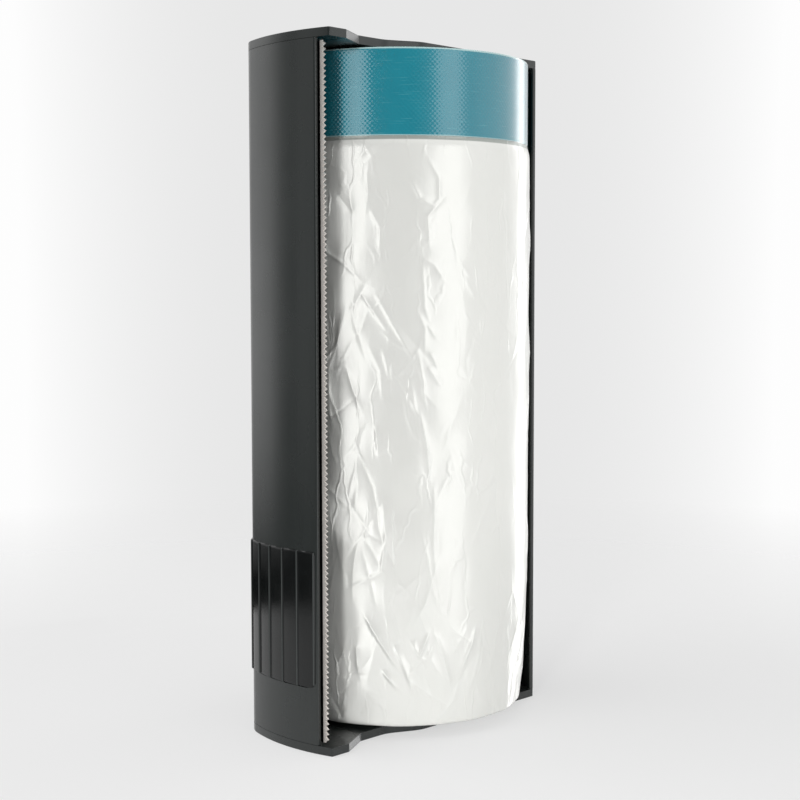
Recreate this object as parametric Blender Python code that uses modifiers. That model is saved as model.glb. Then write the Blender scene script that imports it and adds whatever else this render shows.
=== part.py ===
"""Masking film dispenser: a black moulded case that holds a roll of pre-taped
masking film between two end caps, with a serrated steel blade along its grip side.

Plan coordinates (u, v) start at the blade-side ear of the end caps. u runs along the
opening towards the far edge and v runs back into the case. Z is the roll's axis.
"""
import math

import bmesh
import bpy
from mathutils import Vector

MM = 0.001

# Fits
GAP = 0.3 * MM              # between pieces that touch or run in each other
SEAM = 0.1 * MM             # between the case wall and its end caps
OVERRUN = 1.0 * MM          # how far a cutter runs past the face it cuts

# Case: an extruded wall with a flat cap screwed on each end
CASE_HEIGHT = 205.0 * MM
CAP_THICKNESS = 2.5 * MM
WALL = 1.5 * MM
WALL_FRONT = 4.8 * MM       # the grip wall's front edge, behind the line of the ears
WALL_BOW = 1.9 * MM         # how far the grip wall bows out past the ear
GRIP_WALL_RADIUS = 58.0 * MM
CORNER_RADIUS = 10.0 * MM
CORNER_START = math.radians(20)   # where the grip wall turns into the corner
WALL_EDGE_ROUND = 0.5 * MM

# Roll of film with tape along its top edge
ROLL_RADIUS = 40.3 * MM
ROLL_PROUD = 15.8 * MM      # how far the full roll stands out of the case's front line
ROLL_END_GAP = 1.2 * MM     # between the roll and each end cap
ROLL_CLEARANCE = 3.0 * MM   # between the roll and the far side of the case
FILM_GAP = 13.6 * MM        # between the roll and the grip wall, where the film comes out
TAPE_WIDTH = 25.0 * MM
TAPE_STEP = 0.25 * MM       # the free end of the tape stands out by this
FILM_STEP = 0.4 * MM        # the free end of the folded film
FILM_PROUD = 0.7 * MM       # the film lies a little larger than the tape
FILM_EDGE_ROUND = 1.2 * MM
TAPER_DROP = 2.6 * MM       # the film is folded thinner towards its lower edge
TAPER_LENGTH = 20.0 * MM
PLEAT_DEPTH = 0.35 * MM
PLEAT_LENGTH = 34.0 * MM
PLEAT_COUNTS = (11, 19, 29)
PLEAT_SHARES = (0.45, 0.33, 0.22)
SHEET_END_ANGLE = math.radians(155)
SHEET_EDGE_RUN = 0.3 * MM   # how far round the roll the free end slopes down
CORE_BORE_RADIUS = 16.5 * MM
CORE_WALL = 2.5 * MM

# Serrated blade, held in a channel on the inside of the grip wall
BLADE_THICKNESS = 0.5 * MM
BLADE_DEPTH = 11.0 * MM
BLADE_REACH = 2.2 * MM      # how far the tooth tips stand past the wall's front edge
BLADE_END_GAP = 0.8 * MM
TOOTH_PITCH = 1.5 * MM
TOOTH_DEPTH = 1.1 * MM
RAIL_THICKNESS = 1.2 * MM
RAIL_SET_BACK = 2.7 * MM    # from the wall's front edge to the channel's inner lip
CHANNEL_WEB = 1.6 * MM      # solid behind the blade's back edge
RAIL_ROOT_SHARE = 0.7       # how deep in the wall the channel's root starts

# Screw ports and countersunk screws
PORT_RADIUS = 2.6 * MM
PORT_EMBED = 0.5 * MM
PORT_CORNER_ANGLE = math.radians(150)
SCREW_RADIUS = 1.0 * MM
SCREW_HEAD_RADIUS = 2.5 * MM
SCREW_HEAD_DEPTH = 1.3 * MM
SCREW_LENGTH = 12.0 * MM
SCREW_TIP_SHARE = 0.35
HEAD_SET_IN = 0.2 * MM      # heads and plug flanges lie just below the caps' faces

# Front edge of the end caps: ear, notch and straight run
EAR_WIDTH = 6.7 * MM
NOTCH_IN_U = 16.4 * MM
NOTCH_OUT_U = 27.3 * MM
NOTCH_DEPTH = 5.0 * MM
NOTCH_END_U = 37.5 * MM
EAR_ROUND = 0.7 * MM
NOTCH_ROUND = 10.0 * MM
CAP_EDGE_ROUND = 0.3 * MM   # round the outer face only: the inner edge meets the wall
FLAT_SHARE = 0.5            # a face whose normal's upright share is over this lies flat

# Spigot rim and thrust ring on the inside of the caps
SPIGOT_THICKNESS = 1.1 * MM
SPIGOT_HEIGHT = 5.0 * MM
SPIGOT_START = math.radians(128)
SPIGOT_END = math.radians(-8)
THRUST_RING_WIDTH = 3.0 * MM

# Core plugs that carry the roll in the caps
FLANGE_WIDTH = 4.0 * MM
FLANGE_THICKNESS = 1.0 * MM
PLUG_WALL = 1.6 * MM
PLUG_INSERTION = 22.0 * MM  # how deep the plug sits in the core
CUP_DEPTH = 10.0 * MM
PLUG_CHAMFER = 1.2 * MM
PLUG_SLOT_WIDTH = 3.0 * MM
PLUG_SLOT_LENGTH = 9.0 * MM
WEB_WIDTH = 3.0 * MM
WEB_SET_IN = 0.8 * MM

# Ribbed grip pad, moulded into a recess in the grip wall
PAD_BOTTOM = 19.1 * MM
PAD_HEIGHT = 38.1 * MM
PAD_FRONT = 6.7 * MM
PAD_RECESS = 0.8 * MM
RIB_PITCH = 6.1 * MM
RIB_COUNT = 6
PAD_CORNER_ROUND = 2.2 * MM
RIB_HIGH = 0.6 * MM
RIB_LOW = 0.15 * MM
RIB_STEP_RUN = 0.35 * MM

# Facets
GRIP_STEPS = 12
CORNER_STEPS = 5
BACK_STEPS = 40
FILLET_STEPS = 4
ROUND_STEPS = 64
SCREW_STEPS = 16
PAD_STEPS = 3
ROLL_STEPS = 96
FILM_LEVELS = 14

# Sizes that follow
ROLL_AXIS = (WALL + FILM_GAP + ROLL_RADIUS - WALL_BOW, ROLL_RADIUS - ROLL_PROUD)
BACK_RADIUS = ROLL_RADIUS + ROLL_CLEARANCE + WALL
GRIP_CENTRE = (
    GRIP_WALL_RADIUS - WALL_BOW,
    math.sqrt(GRIP_WALL_RADIUS ** 2 - (GRIP_WALL_RADIUS - WALL_BOW) ** 2),
)
CORNER_CENTRE = (
    GRIP_CENTRE[0] - (GRIP_WALL_RADIUS - CORNER_RADIUS) * math.cos(CORNER_START),
    GRIP_CENTRE[1] + (GRIP_WALL_RADIUS - CORNER_RADIUS) * math.sin(CORNER_START),
)
SHELL_BOTTOM = CAP_THICKNESS + SEAM
SHELL_TOP = CASE_HEIGHT - CAP_THICKNESS - SEAM
ROLL_BOTTOM = CAP_THICKNESS + ROLL_END_GAP
ROLL_TOP = CASE_HEIGHT - CAP_THICKNESS - ROLL_END_GAP
TAPE_BOTTOM = ROLL_TOP - TAPE_WIDTH
FILM_TOP = TAPE_BOTTOM - GAP
CORE_RADIUS = CORE_BORE_RADIUS + CORE_WALL
WINDING_BORE_RADIUS = CORE_RADIUS + GAP
PLUG_RADIUS = CORE_BORE_RADIUS - GAP
FLANGE_RADIUS = PLUG_RADIUS + FLANGE_WIDTH
PILOT_RADIUS = SCREW_RADIUS + GAP
PAD_TOP = PAD_BOTTOM + PAD_HEIGHT
INNER_GRIP_U = GRIP_CENTRE[0] - math.sqrt(
    (GRIP_WALL_RADIUS - WALL) ** 2 - (WALL_FRONT - GRIP_CENTRE[1]) ** 2
)
BLADE_U = INNER_GRIP_U + GAP
BLADE_TIP_V = WALL_FRONT - BLADE_REACH
BLADE_BACK_V = BLADE_TIP_V + BLADE_DEPTH
CHANNEL_U = BLADE_U + BLADE_THICKNESS + GAP
CHANNEL_BACK_V = BLADE_BACK_V + GAP
RAIL_BACK_V = CHANNEL_BACK_V + CHANNEL_WEB
PORT_REACH = CORNER_RADIUS - WALL - PORT_RADIUS + PORT_EMBED
PORTS = (
    (WALL - WALL_BOW + PORT_RADIUS - PORT_EMBED, RAIL_BACK_V + PORT_RADIUS - PORT_EMBED),
    (
        CORNER_CENTRE[0] + PORT_REACH * math.cos(PORT_CORNER_ANGLE),
        CORNER_CENTRE[1] + PORT_REACH * math.sin(PORT_CORNER_ANGLE),
    ),
)


def tangent_angle():
    """Direction of the flat that joins the corner arc to the arc round the roll."""
    across = Vector(CORNER_CENTRE) - Vector(ROLL_AXIS)
    swing = math.acos((BACK_RADIUS - CORNER_RADIUS) / across.length)
    return math.atan2(across.y, across.x) % math.tau - swing


TANGENT = tangent_angle()


def arc(centre, radius, start, end, steps):
    """Points on an arc, both ends included."""
    angles = [start + (end - start) * i / steps for i in range(steps + 1)]
    return [
        (centre[0] + radius * math.cos(a), centre[1] + radius * math.sin(a))
        for a in angles
    ]


def circle(centre, radius, steps=ROUND_STEPS):
    return arc(centre, radius, 0, math.tau, steps)[:-1]


def rectangle(low_u, low_v, high_u, high_v):
    return [(low_u, low_v), (high_u, low_v), (high_u, high_v), (low_u, high_v)]


def grip_angle(radius, v):
    """Where an arc round the grip wall's centre reaches the depth v."""
    return math.pi - math.asin((v - GRIP_CENTRE[1]) / radius)


def side_line(inset, front_v):
    """Case side, set in by inset, from the grip wall's front round to the far edge."""
    grip_radius = GRIP_WALL_RADIUS - inset
    back_radius = BACK_RADIUS - inset
    corner_angle = math.pi - CORNER_START
    far_angle = -math.asin(ROLL_AXIS[1] / back_radius)
    grip = arc(GRIP_CENTRE, grip_radius, grip_angle(grip_radius, front_v), corner_angle, GRIP_STEPS)
    corner = arc(CORNER_CENTRE, CORNER_RADIUS - inset, corner_angle, TANGENT, CORNER_STEPS)
    back = arc(ROLL_AXIS, back_radius, TANGENT, far_angle, BACK_STEPS)
    return grip + corner[1:] + back


def rounded(points, radii):
    """Replace each inner corner of an open chain by an arc of its radius."""
    result = [points[0]]
    for before, corner, after, radius in zip(points, points[1:], points[2:], radii):
        corner = Vector(corner)
        one_way = (Vector(before) - corner).normalized()
        other_way = (Vector(after) - corner).normalized()
        half = one_way.angle(other_way) / 2
        reach = radius / math.tan(half)
        centre = corner + (one_way + other_way).normalized() * radius / math.sin(half)
        start = (corner + one_way * reach - centre).normalized()
        end = (corner + other_way * reach - centre).normalized()
        for i in range(FILLET_STEPS + 1):
            result.append(tuple(centre + start.slerp(end, i / FILLET_STEPS) * radius))
    return result + [points[-1]]


def wall_outline():
    """Wall section from the grip side to the far edge, with both ends rounded."""
    outer = side_line(0, WALL_FRONT)
    inner = side_line(WALL, WALL_FRONT)
    radii = (WALL_EDGE_ROUND, WALL_EDGE_ROUND)
    grip_end = rounded([inner[1], inner[0], outer[0], outer[1]], radii)
    far_end = rounded([outer[-2], outer[-1], inner[-1], inner[-2]], radii)
    return grip_end + outer[2:-2] + far_end + inner[-3:1:-1]


def pad_point(run, height):
    """Point at a run along the grip wall from the pad's front, height off its face."""
    start = grip_angle(GRIP_WALL_RADIUS, PAD_FRONT)
    corner_angle = math.pi - CORNER_START
    to_corner = GRIP_WALL_RADIUS * (start - corner_angle)
    to_flat = to_corner + CORNER_RADIUS * (corner_angle - TANGENT)
    if run < to_corner:
        centre, radius = GRIP_CENTRE, GRIP_WALL_RADIUS
        angle = start - run / GRIP_WALL_RADIUS
    else:
        centre, radius = CORNER_CENTRE, CORNER_RADIUS
        angle = max(corner_angle - (run - to_corner) / CORNER_RADIUS, TANGENT)
    u, v = arc(centre, radius + height, angle, angle, 1)[0]
    along_flat = max(run - to_flat, 0)
    return (u + along_flat * math.sin(TANGENT), v - along_flat * math.cos(TANGENT))


def pad_band(depth, margin):
    """Line along the pad's whole run, a depth below the case's face."""
    length = RIB_PITCH * RIB_COUNT + 2 * margin
    steps = RIB_COUNT * PAD_STEPS
    return [pad_point(length * i / steps - margin, -depth) for i in range(steps + 1)]


def pad_ribs():
    """Shingled outer side: each rib rises towards the front and steps down there."""
    points = []
    for rib in range(RIB_COUNT):
        front = RIB_PITCH * rib
        points.append(pad_point(front, RIB_LOW))
        points.append(pad_point(front + RIB_STEP_RUN, RIB_HIGH))
        points.append(pad_point(front + RIB_PITCH / 2, (RIB_HIGH + RIB_LOW) / 2))
    points.append(pad_point(RIB_PITCH * RIB_COUNT, RIB_LOW))
    return points


def pad_window(name, margin):
    """Prism across the grip wall with the pad's round-cornered outline, a margin larger."""
    low, high = PAD_BOTTOM - margin, PAD_TOP + margin
    front_v = pad_point(-margin, 0)[1]
    back_v = pad_point(RIB_PITCH * RIB_COUNT + margin, 0)[1]
    middle = ((low + high) / 2, front_v)
    corners = rectangle(low, front_v, high, back_v)
    chain = [middle, corners[1], corners[2], corners[3], corners[0], middle]
    outline = rounded(chain, (PAD_CORNER_ROUND + margin,) * 4)[:-1]
    shape = flat_shape(name, [outline], GRIP_WALL_RADIUS, (0, 0, 0), FRAME, CUTTERS)
    shape.rotation_euler.y = -math.pi / 2
    return as_mesh(shape, name, CUTTERS)


def clear_scene():
    for obj in list(bpy.data.objects):
        bpy.data.objects.remove(obj, do_unlink=True)


def collection(name):
    made = bpy.data.collections.new(name)
    bpy.context.scene.collection.children.link(made)
    return made


def empty(name, location, parent=None):
    """Frame that parts are placed in."""
    obj = bpy.data.objects.new(name, None)
    obj.location = location
    obj.parent = parent
    PARTS.objects.link(obj)
    return obj


def material(name, colour, roughness, metallic=0.0):
    made = bpy.data.materials.new(name)
    made.use_nodes = True
    shader = made.node_tree.nodes["Principled BSDF"]
    shader.inputs["Base Color"].default_value = (*colour, 1.0)
    shader.inputs["Roughness"].default_value = roughness
    shader.inputs["Metallic"].default_value = metallic
    made.diffuse_color = (*colour, 1.0)
    return made


def finish(obj, made, sharp_degrees=35):
    """Give a part its material and smooth shading between its sharp edges."""
    obj.data.materials.append(made)
    obj.data.shade_smooth()
    obj.data.set_sharp_from_angle(angle=math.radians(sharp_degrees))
    return obj


def flat_shape(name, outlines, thickness, location, parent, group):
    """Curve object with flat outlines, holes among them, of the given thickness."""
    curve = bpy.data.curves.new(name, "CURVE")
    curve.dimensions = "2D"
    curve.fill_mode = "BOTH"
    curve.extrude = thickness / 2
    for outline in outlines:
        spline = curve.splines.new("POLY")
        spline.points.add(len(outline) - 1)
        for point, (x, y) in zip(spline.points, outline):
            point.co = (x, y, 0, 1)
        spline.use_cyclic_u = True
    shape = bpy.data.objects.new(name + "_outline", curve)
    shape.location = location
    shape.parent = parent
    group.objects.link(shape)
    return shape


def extruded(name, outlines, bottom, top, parent, group=None):
    """Closed mesh of flat outlines that runs from bottom to top."""
    group = group or PARTS
    middle = (0, 0, (bottom + top) / 2)
    return as_mesh(flat_shape(name, outlines, top - bottom, middle, parent, group), name, group)


def as_mesh(shape, name, group):
    """Turn a curve object into a welded mesh object in the same place."""
    bpy.context.view_layer.update()
    graph = bpy.context.evaluated_depsgraph_get()
    mesh = bpy.data.meshes.new_from_object(shape.evaluated_get(graph))
    mesh.name = name
    welded = bmesh.new()
    welded.from_mesh(mesh)
    bmesh.ops.remove_doubles(welded, verts=welded.verts, dist=OVERRUN / 1000)
    bmesh.ops.recalc_face_normals(welded, faces=welded.faces)
    welded.to_mesh(mesh)
    welded.free()
    obj = bpy.data.objects.new(name, mesh)
    obj.parent = shape.parent
    group.objects.link(obj)
    obj.matrix_world = shape.matrix_world
    bpy.data.objects.remove(shape, do_unlink=True)
    return obj


def turned(name, profile, steps, parent, location=(0, 0, 0), group=None):
    """Profile of (radius, height) points, down its outer side, turned about Z."""
    group = group or PARTS
    mesh = bpy.data.meshes.new(name)
    edges = [(i, i + 1) for i in range(len(profile) - 1)]
    mesh.from_pydata([(r, 0, z) for r, z in profile], edges, [])
    obj = bpy.data.objects.new(name, mesh)
    obj.location = location
    obj.parent = parent
    group.objects.link(obj)
    screw = obj.modifiers.new("turn", "SCREW")
    screw.steps = steps
    screw.render_steps = steps
    screw.use_merge_vertices = True
    screw.merge_threshold = OVERRUN / 1000
    return obj


def block(name, low, high, parent):
    """Box cutter or core between two corners, from a unit cube."""
    mesh = bpy.data.meshes.new(name)
    box = bmesh.new()
    bmesh.ops.create_cube(box, size=1)
    size = Vector(high) - Vector(low)
    bmesh.ops.scale(box, vec=size, verts=box.verts)
    box.to_mesh(mesh)
    box.free()
    obj = bpy.data.objects.new(name, mesh)
    obj.location = (Vector(low) + Vector(high)) / 2
    obj.parent = parent
    CUTTERS.objects.link(obj)
    return obj


def combine(obj, tool, operation):
    """Join or cut obj with tool, which stays as a hidden guide."""
    tool.hide_render = True
    tool.display_type = "WIRE"
    boolean = obj.modifiers.new(tool.name, "BOOLEAN")
    boolean.operation = operation
    boolean.solver = "EXACT"
    boolean.object = tool
    return obj


def round_rim(obj, side, width, segments=2):
    """Round the rim of the upper or the lower face of a flat piece."""
    plate = bmesh.new()
    plate.from_mesh(obj.data)
    outer = [face for face in plate.faces if side * face.normal.z > FLAT_SHARE]
    rim_face = bmesh.ops.dissolve_faces(plate, faces=outer)["region"][0]
    weight = plate.edges.layers.float.new("bevel_weight_edge")
    for edge in rim_face.edges:
        edge[weight] = 1
    plate.to_mesh(obj.data)
    plate.free()
    rounding = obj.modifiers.new("rounded_rim", "BEVEL")
    rounding.width = width
    rounding.segments = segments
    rounding.limit_method = "WEIGHT"
    return obj


def span(face, inward, near, far):
    """Low and high Z of a layer that starts near and ends far inside a cap's face."""
    return sorted((face + inward * near, face + inward * far))


def seated(profile, inward):
    """Heights of a turned profile of (radius, depth) points, listed tip first."""
    placed = [(radius, inward * depth) for radius, depth in profile]
    return placed if inward > 0 else placed[::-1]


def case_shell():
    """Extruded wall with the blade channel and the screw ports on its inside."""
    height = (SHELL_BOTTOM, SHELL_TOP)
    through = (SHELL_BOTTOM - OVERRUN, SHELL_TOP + OVERRUN)
    shell = extruded("case_shell", [wall_outline()], *height, FRAME)
    root_u = WALL * RAIL_ROOT_SHARE - WALL_BOW
    front_v = WALL_FRONT + RAIL_SET_BACK
    rail = [rectangle(root_u, front_v, CHANNEL_U + RAIL_THICKNESS, RAIL_BACK_V)]
    combine(shell, extruded("blade_rail", rail, *height, FRAME, CUTTERS), "UNION")
    for number, port in enumerate(PORTS, 1):
        boss = [circle(port, PORT_RADIUS, SCREW_STEPS * 2)]
        combine(shell, extruded(f"screw_port_{number}", boss, *height, FRAME, CUTTERS), "UNION")
    slot = [rectangle(INNER_GRIP_U, WALL_FRONT - OVERRUN, CHANNEL_U, CHANNEL_BACK_V)]
    combine(shell, extruded("blade_slot", slot, *through, FRAME, CUTTERS), "DIFFERENCE")
    for number, port in enumerate(PORTS, 1):
        pilot = [circle(port, PILOT_RADIUS, SCREW_STEPS)]
        combine(shell, extruded(f"pilot_hole_{number}", pilot, *through, FRAME, CUTTERS), "DIFFERENCE")
    recess = [pad_band(PAD_RECESS, GAP) + pad_band(-OVERRUN, GAP)[::-1]]
    recess_span = (PAD_BOTTOM - OVERRUN, PAD_TOP + OVERRUN)
    pocket = extruded("pad_recess", recess, *recess_span, FRAME, CUTTERS)
    combine(pocket, pad_window("recess_window", GAP), "INTERSECT")
    combine(shell, pocket, "DIFFERENCE")
    return finish(shell, CASE_PLASTIC)


def grip_pad():
    """Soft pad in its recess, with ribs that step down towards the opening."""
    outline = pad_band(PAD_RECESS - GAP, 0) + pad_ribs()[::-1]
    pad = extruded("grip_pad", [outline], PAD_BOTTOM - OVERRUN, PAD_TOP + OVERRUN, FRAME)
    combine(pad, pad_window("pad_window", 0), "INTERSECT")
    return finish(pad, PAD_RUBBER, 20)


def cap_outline():
    """Flush with the case wall, with an ear over the blade's end and a finger notch."""
    side = side_line(0, 0)
    front = [
        side[-2], side[-1],
        (NOTCH_END_U, 0), (NOTCH_OUT_U, NOTCH_DEPTH), (NOTCH_IN_U, NOTCH_DEPTH), (EAR_WIDTH, 0),
        side[0], side[1],
    ]
    radii = (EAR_ROUND, NOTCH_ROUND, NOTCH_ROUND, EAR_ROUND, EAR_ROUND, EAR_ROUND)
    return side[2:-2] + rounded(front, radii)


def screw_hole(face, inward, number, port):
    """Cutter for a clearance hole with its countersink, through an end cap."""
    open_radius = SCREW_HEAD_RADIUS + GAP
    profile = [
        (0, CAP_THICKNESS + OVERRUN),
        (PILOT_RADIUS, CAP_THICKNESS + OVERRUN),
        (PILOT_RADIUS, HEAD_SET_IN + SCREW_HEAD_DEPTH + GAP),
        (open_radius, HEAD_SET_IN + GAP),
        (open_radius, -OVERRUN),
        (0, -OVERRUN),
    ]
    name = f"screw_hole_{number}_{'bottom' if inward > 0 else 'top'}"
    return turned(name, seated(profile, inward), SCREW_STEPS, FRAME, (*port, face), CUTTERS)


def end_cap(name, face, inward):
    """Flat cap with a spigot rim, a thrust ring round its bore and countersunk holes."""
    cap = extruded(name, [cap_outline()], *span(face, inward, 0, CAP_THICKNESS), FRAME)
    round_rim(cap, -inward, CAP_EDGE_ROUND)
    middle = CAP_THICKNESS / 2
    rim_radius = BACK_RADIUS - WALL - GAP
    rim = arc(ROLL_AXIS, rim_radius, SPIGOT_START, SPIGOT_END, BACK_STEPS)
    rim += arc(ROLL_AXIS, rim_radius - SPIGOT_THICKNESS, SPIGOT_END, SPIGOT_START, BACK_STEPS)
    ring = [
        circle(ROLL_AXIS, CORE_BORE_RADIUS + THRUST_RING_WIDTH),
        circle(ROLL_AXIS, CORE_BORE_RADIUS - OVERRUN),
    ]
    rim_span = span(face, inward, middle, CAP_THICKNESS + SPIGOT_HEIGHT)
    ring_span = span(face, inward, middle, CAP_THICKNESS + ROLL_END_GAP - GAP)
    combine(cap, extruded(name + "_spigot", [rim], *rim_span, FRAME, CUTTERS), "UNION")
    combine(cap, extruded(name + "_thrust_ring", ring, *ring_span, FRAME, CUTTERS), "UNION")
    bore = [circle(ROLL_AXIS, CORE_BORE_RADIUS)]
    seat = [circle(ROLL_AXIS, FLANGE_RADIUS + GAP)]
    bore_span = span(face, inward, -OVERRUN, CAP_THICKNESS + ROLL_END_GAP + OVERRUN)
    seat_span = span(face, inward, -OVERRUN, HEAD_SET_IN + FLANGE_THICKNESS + GAP)
    combine(cap, extruded(name + "_bore", bore, *bore_span, FRAME, CUTTERS), "DIFFERENCE")
    combine(cap, extruded(name + "_flange_seat", seat, *seat_span, FRAME, CUTTERS), "DIFFERENCE")
    for number, port in enumerate(PORTS, 1):
        combine(cap, screw_hole(face, inward, number, port), "DIFFERENCE")
    return finish(cap, CASE_PLASTIC)


def cap_screws(name, face, inward):
    """Countersunk self-tapping screws of one cap, in the case wall's screw ports."""
    profile = [
        (0, HEAD_SET_IN + SCREW_LENGTH),
        (SCREW_RADIUS * SCREW_TIP_SHARE, HEAD_SET_IN + SCREW_LENGTH),
        (SCREW_RADIUS, HEAD_SET_IN + SCREW_LENGTH - SCREW_RADIUS * 2),
        (SCREW_RADIUS, HEAD_SET_IN + SCREW_HEAD_DEPTH),
        (SCREW_HEAD_RADIUS, HEAD_SET_IN),
        (0, HEAD_SET_IN),
    ]
    for number, port in enumerate(PORTS, 1):
        screw = turned(f"{name}_{number}", seated(profile, inward), SCREW_STEPS, FRAME, (*port, face))
        finish(screw, SCREW_STEEL)


def serrated_blade():
    """Strip of steel with a row of stamped teeth along its front edge."""
    low = CAP_THICKNESS + BLADE_END_GAP
    high = CASE_HEIGHT - CAP_THICKNESS - BLADE_END_GAP
    root_v = BLADE_TIP_V + TOOTH_DEPTH
    teeth = int((high - low) / TOOTH_PITCH)
    start = (low + high - teeth * TOOTH_PITCH) / 2
    outline = [(high, root_v), (high, BLADE_BACK_V), (low, BLADE_BACK_V), (low, root_v)]
    for tooth in range(teeth):
        foot = start + tooth * TOOTH_PITCH
        outline.append((foot, root_v))
        outline.append((foot + TOOTH_PITCH / 2, BLADE_TIP_V))
    outline.append((start + teeth * TOOTH_PITCH, root_v))
    middle_u = BLADE_U + BLADE_THICKNESS / 2
    shape = flat_shape("serrated_blade", [outline], BLADE_THICKNESS, (middle_u, 0, 0), FRAME, PARTS)
    shape.rotation_euler.y = -math.pi / 2
    return finish(as_mesh(shape, "serrated_blade", PARTS), BLADE_STEEL, 20)


def winding(name, levels, radius_at, made):
    """Wound sheet on the core: each level is one spiral turn from the sheet's free end."""
    mesh = bpy.data.meshes.new(name)
    roll = bmesh.new()
    edge_turn = SHEET_EDGE_RUN / (math.tau * ROLL_RADIUS)
    turns = [step / ROLL_STEPS for step in range(ROLL_STEPS)] + [1 - edge_turn]

    def ring(z, radius_of):
        points = []
        for turn in turns:
            angle = SHEET_END_ANGLE + math.tau * turn
            radius = radius_of(turn, z)
            points.append(roll.verts.new((radius * math.cos(angle), radius * math.sin(angle), z)))
        return points

    rings = [ring(levels[0], bore_radius)]
    rings += [ring(z, radius_at) for z in levels]
    rings += [ring(levels[-1], bore_radius)]
    for lower, upper in zip(rings, rings[1:] + rings[:1]):
        for step in range(-1, ROLL_STEPS):
            roll.faces.new((lower[step], lower[step + 1], upper[step + 1], upper[step]))
    bmesh.ops.recalc_face_normals(roll, faces=roll.faces)
    roll.to_mesh(mesh)
    roll.free()
    obj = bpy.data.objects.new(name, mesh)
    obj.parent = ROLL_FRAME
    PARTS.objects.link(obj)
    return finish(obj, made)


def bore_radius(turn, z):
    return WINDING_BORE_RADIUS


def tape_radius(turn, z):
    return ROLL_RADIUS - TAPE_STEP * turn


def film_radius(turn, z):
    """Film a little proud of the tape, thinner and pleated towards its lower edge."""
    up = z - ROLL_BOTTOM
    down = FILM_TOP - z
    pleats = sum(
        share * math.sin(count * math.tau * turn + count)
        for count, share in zip(PLEAT_COUNTS, PLEAT_SHARES)
    )
    radius = ROLL_RADIUS + FILM_PROUD - FILM_STEP * turn
    radius -= TAPER_DROP * math.exp(-up / TAPER_LENGTH)
    radius -= PLEAT_DEPTH * math.exp(-up / PLEAT_LENGTH) * (1 + pleats) / 2
    radius -= FILM_PROUD * max(0, 1 - down / FILM_EDGE_ROUND)
    return radius - FILM_EDGE_ROUND / 2 * max(0, 1 - up / FILM_EDGE_ROUND)


def film_levels():
    """Heights of the film's sections, closer together towards the tapered edge."""
    low = ROLL_BOTTOM + FILM_EDGE_ROUND
    high = FILM_TOP - FILM_EDGE_ROUND
    inner = [low + (high - low) * (step / FILM_LEVELS) ** 2 for step in range(FILM_LEVELS + 1)]
    return [ROLL_BOTTOM] + inner + [FILM_TOP]


def core_tube():
    outlines = [circle((0, 0), CORE_RADIUS), circle((0, 0), CORE_BORE_RADIUS)]
    return finish(extruded("core_tube", outlines, ROLL_BOTTOM, ROLL_TOP, ROLL_FRAME), CORE_BOARD)


def core_plug(name, face, inward):
    """Plug that runs in a cap's bore and grips the core, with a web to pull it by."""
    seat = empty(name + "_axis", (0, 0, face), ROLL_FRAME)
    tip = CAP_THICKNESS + ROLL_END_GAP + PLUG_INSERTION
    flange_back = HEAD_SET_IN + FLANGE_THICKNESS
    cup_radius = PLUG_RADIUS - PLUG_WALL
    profile = [
        (0, CUP_DEPTH + PLUG_WALL),
        (cup_radius, CUP_DEPTH + PLUG_WALL),
        (cup_radius, tip),
        (PLUG_RADIUS - PLUG_CHAMFER / 2, tip),
        (PLUG_RADIUS, tip - PLUG_CHAMFER),
        (PLUG_RADIUS, flange_back),
        (FLANGE_RADIUS, flange_back),
        (FLANGE_RADIUS, HEAD_SET_IN + FLANGE_THICKNESS / 3),
        (FLANGE_RADIUS - FLANGE_THICKNESS / 3, HEAD_SET_IN),
        (cup_radius, HEAD_SET_IN),
        (cup_radius, CUP_DEPTH),
        (0, CUP_DEPTH),
    ]
    plug = turned(name, seated(profile, inward), ROUND_STEPS, seat)
    half_web = WEB_WIDTH / 2
    reach = cup_radius + PLUG_WALL / 2
    web_low, web_high = span(0, inward, WEB_SET_IN, CUP_DEPTH + PLUG_WALL / 2)
    web = block(name + "_web", (-half_web, -reach, web_low), (half_web, reach, web_high), seat)
    combine(plug, web, "UNION")
    half_slot = PLUG_SLOT_WIDTH / 2
    past = PLUG_RADIUS + OVERRUN
    slot_low, slot_high = span(0, inward, tip - PLUG_SLOT_LENGTH, tip + OVERRUN)
    for axis, (x, y) in {"x": (past, half_slot), "y": (half_slot, past)}.items():
        slot = block(f"{name}_slot_{axis}", (-x, -y, slot_low), (x, y, slot_high), seat)
        combine(plug, slot, "DIFFERENCE")
    return finish(plug, PLUG_PLASTIC)


clear_scene()
PARTS = collection("masking_film_dispenser")
CUTTERS = collection("cutters")

BLACK = (0.022, 0.023, 0.023)
CASE_PLASTIC = material("black_abs", BLACK, 0.32)
PAD_RUBBER = material("black_tpe", (0.018, 0.019, 0.019), 0.48)
PLUG_PLASTIC = material("black_nylon", (0.03, 0.031, 0.032), 0.4)
BLADE_STEEL = material("strip_steel", (0.56, 0.55, 0.53), 0.34, 1.0)
SCREW_STEEL = material("zinc_plated_steel", (0.62, 0.62, 0.6), 0.3, 1.0)
CORE_BOARD = material("spiral_wound_board", (0.48, 0.36, 0.24), 0.85)
TAPE_CLOTH = material("teal_cloth_tape", (0.03, 0.22, 0.29), 0.38)
FILM_PLASTIC = material("white_masking_film", (0.88, 0.89, 0.87), 0.3)

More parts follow.
